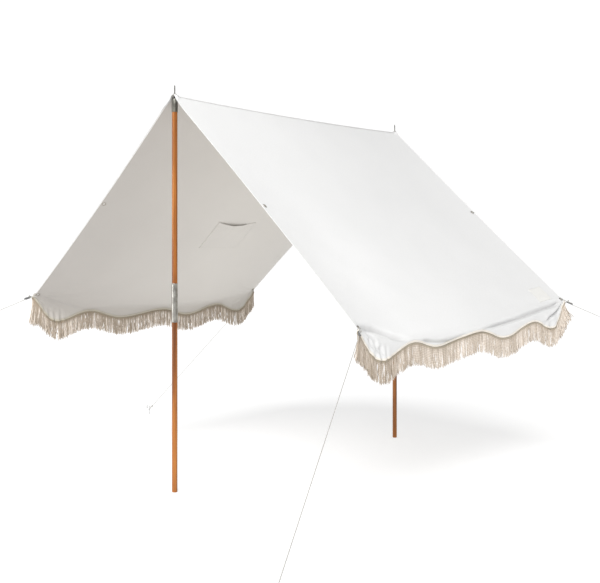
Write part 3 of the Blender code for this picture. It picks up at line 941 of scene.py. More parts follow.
def fold_painted_shade(side_name, below):
    """How much painted shade darkens the long folds, the most in the deepest."""
    painted_shade = np.zeros(below.shape)
    for half, tall, places in LONG_FOLDS[side_name]:
        trace = fold_trace(COLUMNS[None] * CLOTH_WIDTH, below, places, 1.1 * half)
        painted_shade = np.maximum(painted_shade, trace * min(1.0, abs(tall) / DEEPEST_FOLD))
    return painted_shade


def soft_swell(side_name, u, below, full):
    """Slow swells of the valance: it flares at its low lobes and waves along its length."""
    share = np.clip(below / np.maximum(full, 0.02), 0.0, 1.0)
    under = ease(0.0, 1.0, share) * ease(0.012, 0.05, full)
    lobes = 0.5 + 0.5 * np.sin(2.0 * math.pi * (u * 8.6 + 0.13 + 0.3 * SIDES[side_name]))
    ripples = np.sin(2.0 * math.pi * (u * 47.0 + 0.7 * SIDES[side_name])) * bell(u, 0.09, 0.05)
    ripples += 0.7 * np.sin(2.0 * math.pi * (u * 26.0 + 0.2)) * bell(u, 0.9, 0.07)
    return under * (0.0055 * lobes * ease(0.0, 0.05, u) * ease(0.0, 0.05, 1.0 - u) + 0.0046 * ripples)


def roof_waves(side_name, u, v):
    """Faint pulls across the roof, strongest between the ridge ends and the edge eyelets."""
    side = SIDES[side_name]
    inner = ease(0.02, 0.25, v) * ease(0.0, 0.3, 1.0 - v) * ease(0.0, 0.12, u) * ease(0.0, 0.12, 1.0 - u)
    slow = np.sin(2.0 * math.pi * (1.3 * u + 0.9 * v + 0.21 * side))
    slow += 0.6 * np.sin(2.0 * math.pi * (2.1 * u - 1.4 * v + 0.4))
    pulls = bell(v - 0.55 - 0.9 * u, 0.0, 0.05) + bell(v - 0.50 - 0.9 * (1.0 - u), 0.0, 0.05)
    pulls = pulls * ease(0.0, 0.10, np.minimum(u, 1.0 - u)) * (1.0 - ease(0.25, 0.6, np.minimum(u, 1.0 - u)))
    return 0.0016 * inner * slow + 0.0016 * pulls * inner


def eyelet_guard(side_name, points):
    """Zero at the eyelets of a side, so that the cloth lies flat in them, and one further off."""
    guard = np.ones(points.shape[:-1])
    for name, (owner, _, _) in EYELETS.items():
        if owner == side_name:
            middle, _ = eyelet_axis(name)
            guard *= ease(*EYELET_FLAT, np.linalg.norm(points - middle, axis=-1))
    return guard


def lift_at_spikes(points, height):
    """The ridge stands up as a small flat seat round each pole's spike."""
    for y in POLE_PLACES.values():
        beyond = np.maximum((points[..., 1] - y) * math.copysign(1.0, y), 0.0)
        drawn = 0.45 * beyond * (1.0 - ease(0.012, 0.080, np.abs(points[..., 0])))
        points[..., 1] -= drawn * math.copysign(1.0, y)
        far = np.hypot(points[..., 0], points[..., 1] - y)
        share = 1.0 - ease(0.0108, 0.027, far)
        points[..., 2] = mix(points[..., 2], height, share)
    return points


def column_places():
    """Columns from the front edge to the rear edge, as shares, closer where the cloth is folded."""
    near_edge = np.array((
        0.0, 2.0, 4.5, 8.0, 11.5, 15.0, 18.5, 22.0, 25.5, 29.0, 32.5, 36.0, 42.0, 51.0)) / 1000
    front_folds = np.linspace(0.060, 0.235, 30)
    middle = np.linspace(0.252, CLOTH_WIDTH - 0.272, 78)
    rear_folds = np.linspace(CLOTH_WIDTH - 0.255, CLOTH_WIDTH - 0.060, 22)
    places = [near_edge, front_folds, middle, rear_folds, CLOTH_WIDTH - near_edge[::-1]]
    return np.concatenate(places) / CLOTH_WIDTH


def row_places():
    """Rows from the ridge to the fold, as shares of the slope."""
    near_ridge = np.array((0.002, 0.004, 0.006, 0.008, 0.011, 0.015, 0.020, 0.027, 0.036))
    upper = np.linspace(0.050, 0.795, 31)
    eyelet = np.linspace(0.802, 0.840, 12)
    lower = np.linspace(0.858, 1.480, 27)
    fold = np.linspace(1.490, SLOPE_LENGTH, 29)
    return np.concatenate([near_ridge, upper, eyelet, lower, fold]) / SLOPE_LENGTH


COLUMNS = column_places()
ROWS = row_places()
HEM_ROWS = np.linspace(0.0, 1.0, 21)[1:]


def side_cloth(side_name):
    """Points of one side's cloth, rows from beside the ridge down to the hem.

    With them comes how far each one lies below the fold.
    """
    u = COLUMNS[None, :]
    side = SIDES[side_name]
    pull = corner_pull(side_name, COLUMNS)
    v = ROWS[:, None] * (1.0 - pull)[None]
    roof = panel(side_name, u, v)
    fold = panel(side_name, COLUMNS, 1.0 - pull)
    hem = hem_line(side_name, COLUMNS) + fold - fold_line(side_name, COLUMNS)
    valance = fold[None] + (hem - fold)[None] * HEM_ROWS[:, None, None]
    full = np.linalg.norm(hem - fold, axis=1)
    slope = np.linalg.norm(fold - ridge_line(COLUMNS), axis=1)

    # Round the fold
    reach = np.minimum(FOLD_ROUND, 0.45 * full)
    above = (1.0 - ROWS[:, None]) * slope[None]
    start = panel(side_name, COLUMNS, (1.0 - pull) * (1.0 - reach / slope))
    stop = fold + (hem - fold) * (reach / full)[:, None]

    def curved(q):
        return bent(start[None], fold[None], stop[None], q[..., None])

    roof_q = 0.5 * (1.0 - above / reach[None])
    roof = np.where((above < reach[None])[..., None], curved(np.clip(roof_q, 0.0, 1.0)), roof)
    under = HEM_ROWS[:, None] * full[None]
    hem_q = 0.5 * (1.0 + under / reach[None])
    valance = np.where((under < reach[None])[..., None], curved(np.clip(hem_q, 0.0, 1.0)), valance)

    points = np.concatenate([roof, valance])
    below = np.concatenate([-above, under])
    normal = unit(np.cross(np.gradient(points, axis=0), np.gradient(points, axis=1)) * side)
    rise = crease_height(side_name, u, below)
    rise[len(ROWS):] += soft_swell(side_name, u, under, full[None])
    rise[:len(ROWS)] += roof_waves(side_name, u, v)
    rise *= eyelet_guard(side_name, points)
    near_ridge = np.concatenate([ease(0.01, 0.08, v), np.ones(under.shape)])
    rise *= near_ridge
    return points + normal * (rise - CLOTH_SINK)[..., None], below


def make_canopy():
    """One cloth over the ridge, from hem to hem."""
    left, left_below = side_cloth("left")
    right, right_below = side_cloth("right")
    top = ridge_line(COLUMNS)
    top[:, 2] += CROWN_RISE

    # Round the ridge
    reach_row = 3
    a, c = left[reach_row], right[reach_row]
    for row in range(reach_row):
        q = 0.5 * (1.0 - (row + 1) / (reach_row + 1))
        left[row] = bent(a, top, c, q)
        right[row] = bent(c, top, a, q)
    crown = 0.25 * a + 0.5 * top + 0.25 * c
    points = np.concatenate([left[::-1], crown[None], right])
    points = lift_at_spikes(points, CLOTH_SEAT)
    rows, columns = points.shape[:2]
    lay_v = path_lengths(points[:, columns // 2])
    lay_v += CLOTH_DROP - lay_v[len(left)]
    lay = paired(COLUMNS[None] * CLOTH_WIDTH, lay_v[:, None])

    # Leave out the cloth inside the eyelets
    flat = points.reshape(-1, 3)
    gone = np.zeros(len(flat), bool)
    for name in EYELETS:
        middle, _ = eyelet_axis(name)
        gone |= np.linalg.norm(flat - middle, axis=1) < EYELET_CUT
    for y in POLE_PLACES.values():
        gone |= (np.hypot(flat[:, 0], flat[:, 1] - y) < SPIKE_CUT) & (flat[:, 2] > RIDGE_HEIGHT - 0.1)
    faces = [face for face in grid_faces(rows, columns, flip=True) if not gone[face].any()]
    kept = np.unique(np.array(faces).ravel())
    renumber = np.zeros(len(flat), int)
    renumber[kept] = np.arange(len(kept))
    parts = Parts()
    # The tone of the points carries the painted shade of the long folds.
    painted_shade = np.concatenate([
        fold_painted_shade("left", left_below)[::-1], np.zeros((1, columns)), fold_painted_shade("right", right_below)])
    parts.add(flat[kept], renumber[np.array(faces)].tolist(), lay.reshape(-1, 2)[kept],
              0.5 + 0.5 * painted_shade.ravel()[kept])
    cloth = parts.piece("canopy_cloth", [CANVAS_OUTSIDE, SHADED_CANVAS_INSIDE])
    solid = thicken(cloth, CLOTH_THICKNESS, -1.0)
    solid.material_offset = 1
    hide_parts("canopy_left", "canopy_right", "valance_left", "valance_right")
    return cloth, points


def canopy_edge(points, side_name, end_name, inset):
    """A line down the cloth, that far inside its front or rear edge, and its outward normals."""
    middle = len(ROWS) + len(HEM_ROWS)
    step = int(SIDES[side_name])
    strip = points[middle:middle + step * (len(ROWS) + 1):step]
    place = inset / CLOTH_WIDTH if end_name == "front" else 1.0 - inset / CLOTH_WIDTH
    line = np.stack([resampled(row, COLUMNS, place) for row in strip])
    normals = unit(np.cross(np.gradient(strip, axis=0), np.gradient(strip, axis=1)) * SIDES[side_name])
    lean = np.stack([resampled(row, COLUMNS, place) for row in normals])
    return line, unit(lean)


def make_side_hem(points, side_name, end_name):
    """The edge of the canvas turned in and sewn down, with a soft roll at its outer side."""
    outer, lean = canopy_edge(points, side_name, end_name, 0.0)
    inner, _ = canopy_edge(points, side_name, end_name, EDGE_TURN)
    keep = slice(2, -6)
    outer, inner, lean = outer[keep], inner[keep], lean[keep]
    lengths = path_lengths(outer)
    count = int(lengths[-1] / 0.008)
    places = np.linspace(0.0, lengths[-1], count)
    outer, inner, lean = [resampled(values, lengths, places) for values in (outer, inner, lean)]
    lean = unit(lean)
    across = unit(inner - outer)
    width = 0.0125 + 0.0004 * np.sin(places * 60.0) + 0.0003 * np.sin(places * 171.0)
    puff = 0.0004 + 0.00025 * np.sin(places * (2.0 * math.pi / 0.031))
    shape = np.array((
        (-0.0007, 0.1), (-0.0012, -0.6), (-0.0007, -1.5), (0.10, -2.0), (0.35, -2.25),
        (0.62, -1.9), (0.80, -1.75), (0.93, -1.7), (1.0, -1.35), (1.0, -1.02), (0.5, -1.02), (0.0, -1.02)))
    ring = []
    for share, deep in shape:
        side_step = share * width if share > 0 else np.full(count, share)
        depth = deep * CLOTH_THICKNESS
        if -2.3 < deep < -1.6:
            depth = depth - puff * math.sin(math.pi * min(max(share, 0.0), 1.0))
        ring.append(outer + across * side_step[:, None] + lean * np.broadcast_to(depth, (count,))[:, None])
    ring = np.stack(ring, axis=1)
    flip = (SIDES[side_name] > 0) == (end_name == "front")
    faces = grid_faces(count, len(shape), round_columns=True, flip=flip)
    faces += end_faces(len(shape), (count - 1) * len(shape), flip)
    lay = paired(np.arange(len(shape))[None] * 0.0015, places[:, None])
    parts = Parts()
    parts.add(ring, faces, lay)
    hem = parts.piece("edge_hem_" + end_name + "_" + side_name, [CANVAS_OUTSIDE])
    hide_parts("side_hem_" + end_name + "_" + side_name)
    return hem


def add_stitches(parts, line, lean, step=STITCH_STEP, length=STITCH_LENGTH):
    """A row of short threads laid along a line, each dipping into the cloth at its ends."""
    lengths = path_lengths(line)
    starts = np.arange(step * 0.5, lengths[-1] - step, step)
    starts = starts + chance.uniform(-0.0002, 0.0002, len(starts))
    shares = np.array((0.0, 0.22, 0.78, 1.0))
    deep = np.array((-0.00045, 0.00018, 0.00018, -0.00045))
    sizes = np.array((0.45, 1.0, 1.0, 0.45)) * THREAD_HALF
    places = starts[:, None] + shares[None] * length
    up = unit(resampled(lean, lengths, places))
    centre = resampled(line, lengths, places) + up * deep[None, :, None]
    ahead = unit(np.gradient(centre, axis=1))
    side = np.cross(ahead, up)
    angles = np.array((0.25, 0.75, 1.25, 1.75)) * math.pi
    wide = side[:, :, None] * (np.cos(angles) * 1.15)[None, None, :, None]
    tall = up[:, :, None] * np.sin(angles)[None, None, :, None]
    sizes = sizes[None, :, None, None]
    points = centre[:, :, None] + wide * sizes + tall * sizes
    one = grid_faces(4, 4, round_columns=True, flip=True) + [[0, 1, 2, 3], [15, 14, 13, 12]]
    faces = (np.array(one)[None] + np.arange(len(starts))[:, None, None] * 16).reshape(-1, 4)
    parts.add(points, faces.tolist())


# Hem trim: binding, header and hanging strands

def hem_path(points, side_name, step):
    """The lower edge of the cloth from front to rear, and which way is outward there."""
    row = points[-1] if side_name == "right" else points[0]
    path = evenly(row, step)
    ahead = unit(np.gradient(path, axis=0))
    ahead[:, 2] = 0.0
    out = unit(np.cross(unit(ahead), UP * SIDES[side_name]))
    return path, out


def make_binding(points, side_name):
    """A cream tape folded over the scalloped edge of the valance."""
    path, out = hem_path(points, side_name, 0.0042)
    lengths = path_lengths(path)
    shape = rounded(np.array((
        (0.0024, -0.0052), (0.0030, 0.0044), (0.0, 0.0060), (-0.0030, 0.0044), (-0.0024, -0.0052),
        (0.0, -0.0018))), 0.0016, 2)
    swell = 1.0 + 0.06 * np.sin(lengths * 90.0) + 0.05 * np.sin(lengths * 211.0)
    profile = shape[None] * np.stack([swell, 1.0 + 0.03 * np.sin(lengths * 47.0)], axis=1)[:, None]
    middle = path - out * 0.0004
    parts = Parts()
    # Painted shade: the tape's inner face, towards the tent, gets a darker tone.
    outward = ease(-0.0010, 0.0010, shape[:, 0])
    add_band(parts, middle, out, profile, tone=np.tile(outward, len(middle)))
    binding = parts.piece("hem_binding_" + side_name, [TAPE_COTTON])
    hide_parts("fringe_tape_" + side_name)
    return binding, middle, out


def make_header(side_name, middle, out):
    """The knitted head of the fringe: ribs where the strands are looped, and two corded rows."""
    fine = evenly(middle, 0.0016)
    lengths = path_lengths(fine)
    source = path_lengths(middle)
    lean = unit(resampled(out, source, lengths))
    rib = np.abs(np.sin(lengths * (math.pi / RIB_PITCH)))
    half = 0.0013 + 0.0007 * rib
    rows = (0.0036, 0.0075, 0.0120, 0.0165)
    wide = (0.8, 1.0, 0.95, 1.15)
    ring = [(half * w, np.full(len(fine), d)) for w, d in zip(wide, rows)]
    ring += [(-half * w, np.full(len(fine), d)) for w, d in list(zip(wide, rows))[::-1]]
    profile = np.stack([np.stack(pair, axis=1) for pair in ring], axis=1)
    parts = Parts()
    # Painted shade: the header's inner face, towards the tent, and the hollows between its ribs are darker.
    outer_face_lit = np.repeat((0.45, 0.0), len(rows))
    tone = 0.30 + 0.35 * rib[:, None] + outer_face_lit[None]
    add_band(parts, fine, lean, profile, tone=tone.ravel())
    down = downward(unit(np.gradient(middle, axis=0)), out)
    for low in CORD_ROWS:
        for face in (1.0, -1.0):
            wave = 0.0003 * np.sin(source * (2.0 * math.pi / 0.0075))
            line = middle + down * (low + wave)[:, None] + out * face * 0.0021
            add_tube(parts, line, 0.0009, 6, hint=UP, tone=0.55)
    header = parts.piece("fringe_header_" + side_name, [HEADER_COTTON])
    return header


def strand_groups(count, most):
    """Which tuft each strand belongs to, with up to most strands in a tuft."""
    groups = []
    tuft = 0
    while len(groups) < count:
        groups += [tuft] * int(chance.integers(1, most + 1))
        tuft += 1
    return np.array(groups[:count])


def fringe_fan(side_name, u):
    """How far the ends of the strands spread along the eave and outward near its corners."""
    front_y, front_out, rear_y, rear_out = FRINGE_FANS[side_name]
    front = 1.0 - ease(0.0, 0.040, u)
    rear = 1.0 - ease(0.0, 0.10, 1.0 - u)
    return front_y * front + rear_y * rear, front_out * front + rear_out * rear


def strand_tones(side_name, share_at, groups, total):
    """How light each strand is. On the left a few tufts are painted light and the rest are painted darker, as
    shade.
    """
    own = chance.uniform(0.0, 1.0, len(groups))
    tuft = chance.uniform(0.0, 1.0, total)[groups]
    if side_name == "left":
        # Painted light on a few tufts on the left, painted shade on the rest.
        own = np.where(tuft > 0.72, 0.98, 0.20 + 0.26 * own)
    else:
        own = 0.20 + 0.80 * (0.5 * own + 0.5 * tuft) - 0.20 * (1.0 - ease(0.05, 0.35, share_at))
    return np.clip(own * 1.2 - 0.1, 0.0, 1.0)


def make_fringe(side_name, middle, out):
    """Cotton strands in two layers, in loose tufts, wavy and pointed at their ends."""
    side = SIDES[side_name]
    source = path_lengths(middle)
    parts = Parts()
    rings = STRAND_RINGS
    sides = STRAND_SIDES
    t = np.linspace(0.0, 1.0, rings)
    for layer, shift in ((0, LAYER_SHIFT), (1, -LAYER_SHIFT)):
        places = np.arange(0.001 + layer * STRAND_PITCH / 2, source[-1] - 0.001, STRAND_PITCH)
        corner = places[(places < DENSE_ENDS) | (places > source[-1] - DENSE_ENDS)]
        places = np.sort(np.concatenate([places, corner + STRAND_PITCH / 3]))
        places = places + chance.uniform(-0.0012, 0.0012, len(places))
        start = resampled(middle, source, places)
        if side_name == "right":
            hangs = np.abs(start[:, 1] - STRAND_GAP_Y) >= STRAND_GAP_HALF
            places, start = places[hangs], start[hangs]
        count = len(places)
        share_at = places / source[-1]
        lean = unit(resampled(out, source, places))
        start = start + lean * shift - np.array((0.0, 0.0, STRAND_DROP))
        groups = strand_groups(count, TUFT_MOST[side_name])
        total = groups.max() + 1
        gather = np.array([start[groups == g, 1].mean() for g in range(total)])
        pull = chance.uniform(0.0, TUFT_PULL, total)[groups]
        fan_y, fan_out = fringe_fan(side_name, share_at)
        sway_y = fan_y + chance.normal(0.0, 0.0040, total)[groups] + chance.normal(0.0, 0.0022, count)
        sway_out = fan_out + chance.normal(0.001, 0.0042, total)[groups] + chance.normal(0.0, 0.0026, count)
        uneven = 1.0 + chance.normal(0.0, 0.030, count) + chance.normal(0.0, 0.022, total)[groups]
        near_front, near_rear = CORNER_LENGTHS[side_name]
        front_extra = near_front * (1.0 - ease(0.0, 0.045, share_at))
        rear_extra = near_rear * ease(0.955, 1.0, share_at)
        long = STRAND_LENGTH * uneven * (1.0 + front_extra + rear_extra)
        curl = chance.normal(0.0, 0.0027, count)
        phase = chance.uniform(0.0, 2.0 * math.pi, count)
        turns = chance.uniform(0.9, 2.6, count)
        move = (gather[groups] - start[:, 1])[:, None] * pull[:, None] * ease(0.15, 0.85, t)[None]
        move = move + sway_y[:, None] * (t ** 1.6)[None]
        wave = np.sin(phase[:, None] + 2.0 * math.pi * turns[:, None] * t[None]) - np.sin(phase)[:, None]
        move = move + curl[:, None] * wave * t[None] ** 0.5
        outward = sway_out[:, None] * (t ** 1.5)[None]
        outward = outward + 0.8 * curl[:, None] * np.cos(phase[:, None] + 7.0 * t[None]) * t[None]
        centre = np.zeros((count, rings, 3))
        centre[..., 0] = start[:, None, 0] + side * outward
        centre[..., 1] = start[:, None, 1] + move
        lost = 0.5 * (sway_y ** 2 + sway_out ** 2)[:, None] / long[:, None] * t[None] ** 2
        centre[..., 2] = start[:, None, 2] - long[:, None] * t[None] + lost
        ahead = unit(np.gradient(centre, axis=1))
        across = unit(np.array((1.0, 0.0, 0.0)) - ahead * ahead[..., :1])
        up = np.cross(ahead, across)
        radius = chance.uniform(*STRAND_RADIUS, count)
        shape = np.interp(t, (0.0, 0.06, 0.4, 0.78, 0.90, 1.0), (0.75, 1.0, 1.0, 1.14, 1.0, 0.40))
        pinch = 1.0 + 0.12 * np.sin(phase[:, None] + 31.0 * t[None])
        radii = radius[:, None] * shape[None] * pinch
        angle = np.linspace(0.0, 2.0 * math.pi, sides + 1)
        ring = (across[:, :, None] * (np.cos(angle) * 0.78)[None, None, :, None]
                + up[:, :, None] * np.sin(angle)[None, None, :, None])
        points = centre[:, :, None] + ring * radii[:, :, None, None]
        lay = paired(angle[None, None] / (2.0 * math.pi), (long[:, None] * t[None])[..., None])
        own = strand_tones(side_name, share_at, groups, total)
        # Painted shade at the roots of the strands, darkest on the left, inside the tent.
        root_shade = np.interp(t, (0.0, 0.06, 0.20, 1.0), (*ROOT_SHADE_TONES[side_name], 0.95, 1.0))
        tone = np.broadcast_to((own[:, None] * root_shade[None])[..., None], (count, rings, sides + 1))
        each = rings * (sides + 1)
        one = np.array(grid_faces(rings, sides + 1))
        faces = (one[None] + np.arange(count)[:, None, None] * each).reshape(-1, 4).tolist()
        tip = (rings - 1) * (sides + 1)
        for index in range(count):
            faces.append([index * each + tip + k for k in range(sides)])
            faces.append([index * each + k for k in range(sides)][::-1])
        parts.add(points, faces, lay, tone.ravel())
    fringe = parts.piece("fringe_strands_" + side_name, [FRINGE_COTTON])
    weld(fringe)
    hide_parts("fringe_" + side_name)
    return fringe


# Ridge seam, pocket and patch

def make_ridge_seam():
    """The felled seam along the ridge: a narrow strip laid over the crown."""
    u = np.linspace(0.004, 0.996, 150)
    shares = np.linspace(-1.0, 1.0, 15)
    half = 0.0115
    reach = 0.008
    top = ridge_line(u)
    top[:, 2] += CROWN_RISE
    rows = []
    for share in shares:
        side_name, other_name = ("left", "right") if share < 0 else ("right", "left")
        far = abs(share) * half
        if far >= reach:
            v = far / SLOPE_LENGTH
            row = panel(side_name, u, v) + panel_normal(side_name, u, v) * 0.0004
        else:
            v = reach / SLOPE_LENGTH
            row = bent(panel(side_name, u, v), top, panel(other_name, u, v), 0.5 * (1.0 - far / reach))
        puff = 0.00035 * (1.0 - abs(share) ** 6) * (1.0 + 0.4 * np.sin(u * 900.0))
        out = unit(stack(share * 0.9, 0.0, 1.0) + np.zeros((len(u), 3)))
        rows.append(row + out * (0.0004 + puff)[:, None])
    points = lift_at_spikes(np.stack(rows), SEAM_SEAT)
    count, columns = points.shape[:2]
    flat = points.reshape(-1, 3)
    gone = np.zeros(len(flat), bool)
    for y in POLE_PLACES.values():
        gone |= np.hypot(flat[:, 0], flat[:, 1] - y) < SPIKE_CUT
    faces = [face for face in grid_faces(count, columns, flip=True) if not gone[face].any()]
    lay = paired(u[None] * CLOTH_WIDTH, CLOTH_DROP + shares[:, None] * half)
    parts = Parts()
    parts.add(points, faces, lay)
    seam = parts.piece("ridge_seam", [CANVAS_OUTSIDE])
    thicken(seam, 0.0007, 1.0)
    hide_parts("ridge_band")
    return seam, points


def inside_of(side_name, y, slope, stand_off):
    """Points under a roof panel, that far off its inner face, waves and all."""
    u, v = panel_place(side_name, y, slope)
    stand_off = stand_off - roof_waves(side_name, u, v)
    return panel(side_name, u, v) - panel_normal(side_name, u, v) * stand_off[..., None]


def make_pocket():
    """A pocket sewn inside the left panel. Its mouth hangs open in a soft curve."""
    a = np.linspace(0.0, 1.0, 61)[None]
    b = np.concatenate([
        np.linspace(0.0, 0.16, 9), np.linspace(0.19, 0.97, 26), np.linspace(0.98, 1.0, 3)])[:, None]
    top = POCKET_SLOPE[0] + POCKET_DROOP * np.sin(math.pi * a) ** 0.9
    slope = mix(top, POCKET_SLOPE[1], b)
    y = mix(POCKET_Y[0], POCKET_Y[1], a) + 0.0 * b
    open_share = np.sin(math.pi * np.minimum(a / POCKET_OPEN, 1.0)) ** 0.9 * (1.0 - b) ** 1.2
    folds = 0.0012 * np.sin(2.0 * math.pi * (a * 3.2 + b * 0.6)) * (1.0 - b) * arch(a)
    folds = folds * (1.0 - ease(0.0, 0.12, 1.0 - arch(a) ** 0.2))
    stand = POCKET_STAND + 0.5 * POCKET_BULGE * open_share + folds
    points = inside_of("left", y, slope, stand)
    rows, columns = points.shape[:2]
    lay = paired(0.9 + a * 0.345, 0.9 - b * 0.235)
    parts = Parts()
    parts.add(points, grid_faces(rows, columns), lay)
    pocket = parts.piece("inner_pocket", [SHADED_CANVAS_INSIDE])
    thicken(pocket, 0.0009, 0.0)
    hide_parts("pocket")

    # Rolled hem along the mouth
    roll = Parts()
    mouth = points[0]
    down = unit(points[4] - points[0])
    add_tube(roll, mouth + down * 0.0006, 0.00125, 8, hint=(1.0, 0.0, 0.0))
    hem = roll.piece("pocket_hem", [SHADED_CANVAS_INSIDE])
    return pocket, hem, points


def make_patch():
    """A blank cotton patch sewn outside the right panel."""
    a = np.linspace(0.0, 1.0, 45)[None]
    b = np.linspace(0.0, 1.0, 25)[:, None]
    y0, y1 = PATCH_Y
    s0, s1 = PATCH_SLOPE
    y = mix(y0, y1, a) + 0.0 * b
    slope = mix(s0, s1, b) + 0.0 * a
    near_y = np.minimum(y - y0, y1 - y)
    near_slope = np.minimum(slope - s0, s1 - slope)
    near = np.minimum(near_y, near_slope)
    pucker = 0.00035 * np.sin(2.0 * math.pi * (a * 19.0)) * bell(near, 0.006, 0.004)
    pucker = pucker + 0.00035 * np.sin(2.0 * math.pi * (b * 9.0)) * bell(near, 0.006, 0.004)
    middle_puff = 0.0009 * ease(0.006, 0.03, near) * (1.0 + 0.5 * np.sin(9.0 * a + 4.0 * b))
    edge_puff = 0.0005 * bell(near, 0.0025, 0.0022)
    u, v = panel_place("right", y, slope)
    normal = panel_normal("right", u, v)
    base = panel("right", u, v) + normal * crease_out("right", u, v)[..., None]
    points = base + normal * (0.0007 + middle_puff + edge_puff + pucker)[..., None]
    middle = points.mean(axis=(0, 1))
    pulled = ease(PATCH_CORNER, 0.0, np.hypot(near_y, near_slope))
    points = points + (middle - points) * (0.012 * pulled)[..., None]
    rows, columns = points.shape[:2]
    lay = paired(0.9 + a * (y1 - y0), 0.9 + b * (s1 - s0))
    parts = Parts()
    parts.add(points, grid_faces(rows, columns, flip=True), lay)
    patch = parts.piece("plain_patch", [PATCH_COTTON])
    thicken(patch, 0.0006, -1.0)
    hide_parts("blank_patch")
    return patch, points, normal


def crease_out(side_name, u, v):
    """The rise of the dressed roof over its plain shape at a spot."""
    fold = fold_line(side_name, u)
    slope = np.linalg.norm(fold - ridge_line(u), axis=-1)
    below = -(1.0 - v) * slope
    rise = crease_height(side_name, u, below) + roof_waves(side_name, u, v)
    return rise * eyelet_guard(side_name, panel(side_name, u, v)) - CLOTH_SINK


# Eyelets, poles, tensioners, guy lines and pegs

def rolled_edge(inner, outer, height, tall, angles):
    """Radius and height of places round a rolled edge, at angles in degrees."""
    middle, half = mix(inner, outer, 0.5), (outer - inner) / 2
    return [(middle + half * math.cos(turn), height + tall * math.sin(turn))
            for turn in map(math.radians, angles)]


def make_eyelets():
    """Rolled metal eyelets with a washer behind, through the roof panels."""
    hole, barrel, flange, metal = EYELET_HOLE, 0.0060, 0.0115, 0.0009
    half = 0.0009
    front = [(hole, -half - 0.0004)]
    front += rolled_edge(hole, flange, half + 0.0001, metal + 0.0006, np.linspace(180.0, 0.0, 9))
    front += [(flange - 0.0003, half), (barrel, half), (barrel, -half - 0.0004)]
    back = [(barrel + 0.0001, -half)]
    back += rolled_edge(barrel, flange, -half - 0.0001, metal + 0.0002, np.linspace(0.0, -180.0, 8))
    for name in EYELETS:
        middle, normal = eyelet_axis(name)
        parts = Parts()
        add_turned(parts, front, middle, normal, 36, closed=True)
        add_turned(parts, back, middle, normal, 36, closed=True)
        ring = parts.piece(name.replace("_eyelet_", "_ring_"), [EYELET_STEEL])
        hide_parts(name)


def make_ridge_eyelets():
    """The eyelet that the spike comes through, and a black rubber washer under the cloth that stands in for
    the shade in the gap there.
    """
    inner = SPIKE_RADIUS + 0.0004
    top = RIDGE_HEIGHT + 0.0056
    under = RIDGE_HEIGHT + 0.0040
    foot = FERRULE_SPAN[1] + 0.0005
    profile = [(inner, foot), (inner, top - 0.0007), (inner + 0.0007, top)]
    profile += [(0.0085, top), (0.0098, top - 0.0003), (0.0105, top - 0.0009), (0.0103, under + 0.0001)]
    profile += [(0.0095, under), (0.0050, under), (0.0050, foot)]
    for end_name, y in POLE_PLACES.items():
        parts = Parts()
        add_turned(parts, profile[::-1], (0.0, y, 0.0), UP, 36, closed=True)
        # Painted shade: a black washer fills the gap under the cloth, where there is only shade.
        washer = [(0.0056, foot + 0.0002), (0.0112, foot + 0.0002), (0.0120, foot + 0.0012),
                  (0.0112, foot + 0.0030), (0.0056, foot + 0.0030)]
        add_turned(parts, washer[::-1], (0.0, y, 0.0), UP, 36, closed=True, kind=1)
        ring = parts.piece("ridge_ring_" + end_name, [EYELET_STEEL, RUBBER])
        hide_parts("ridge_eyelet_" + end_name)


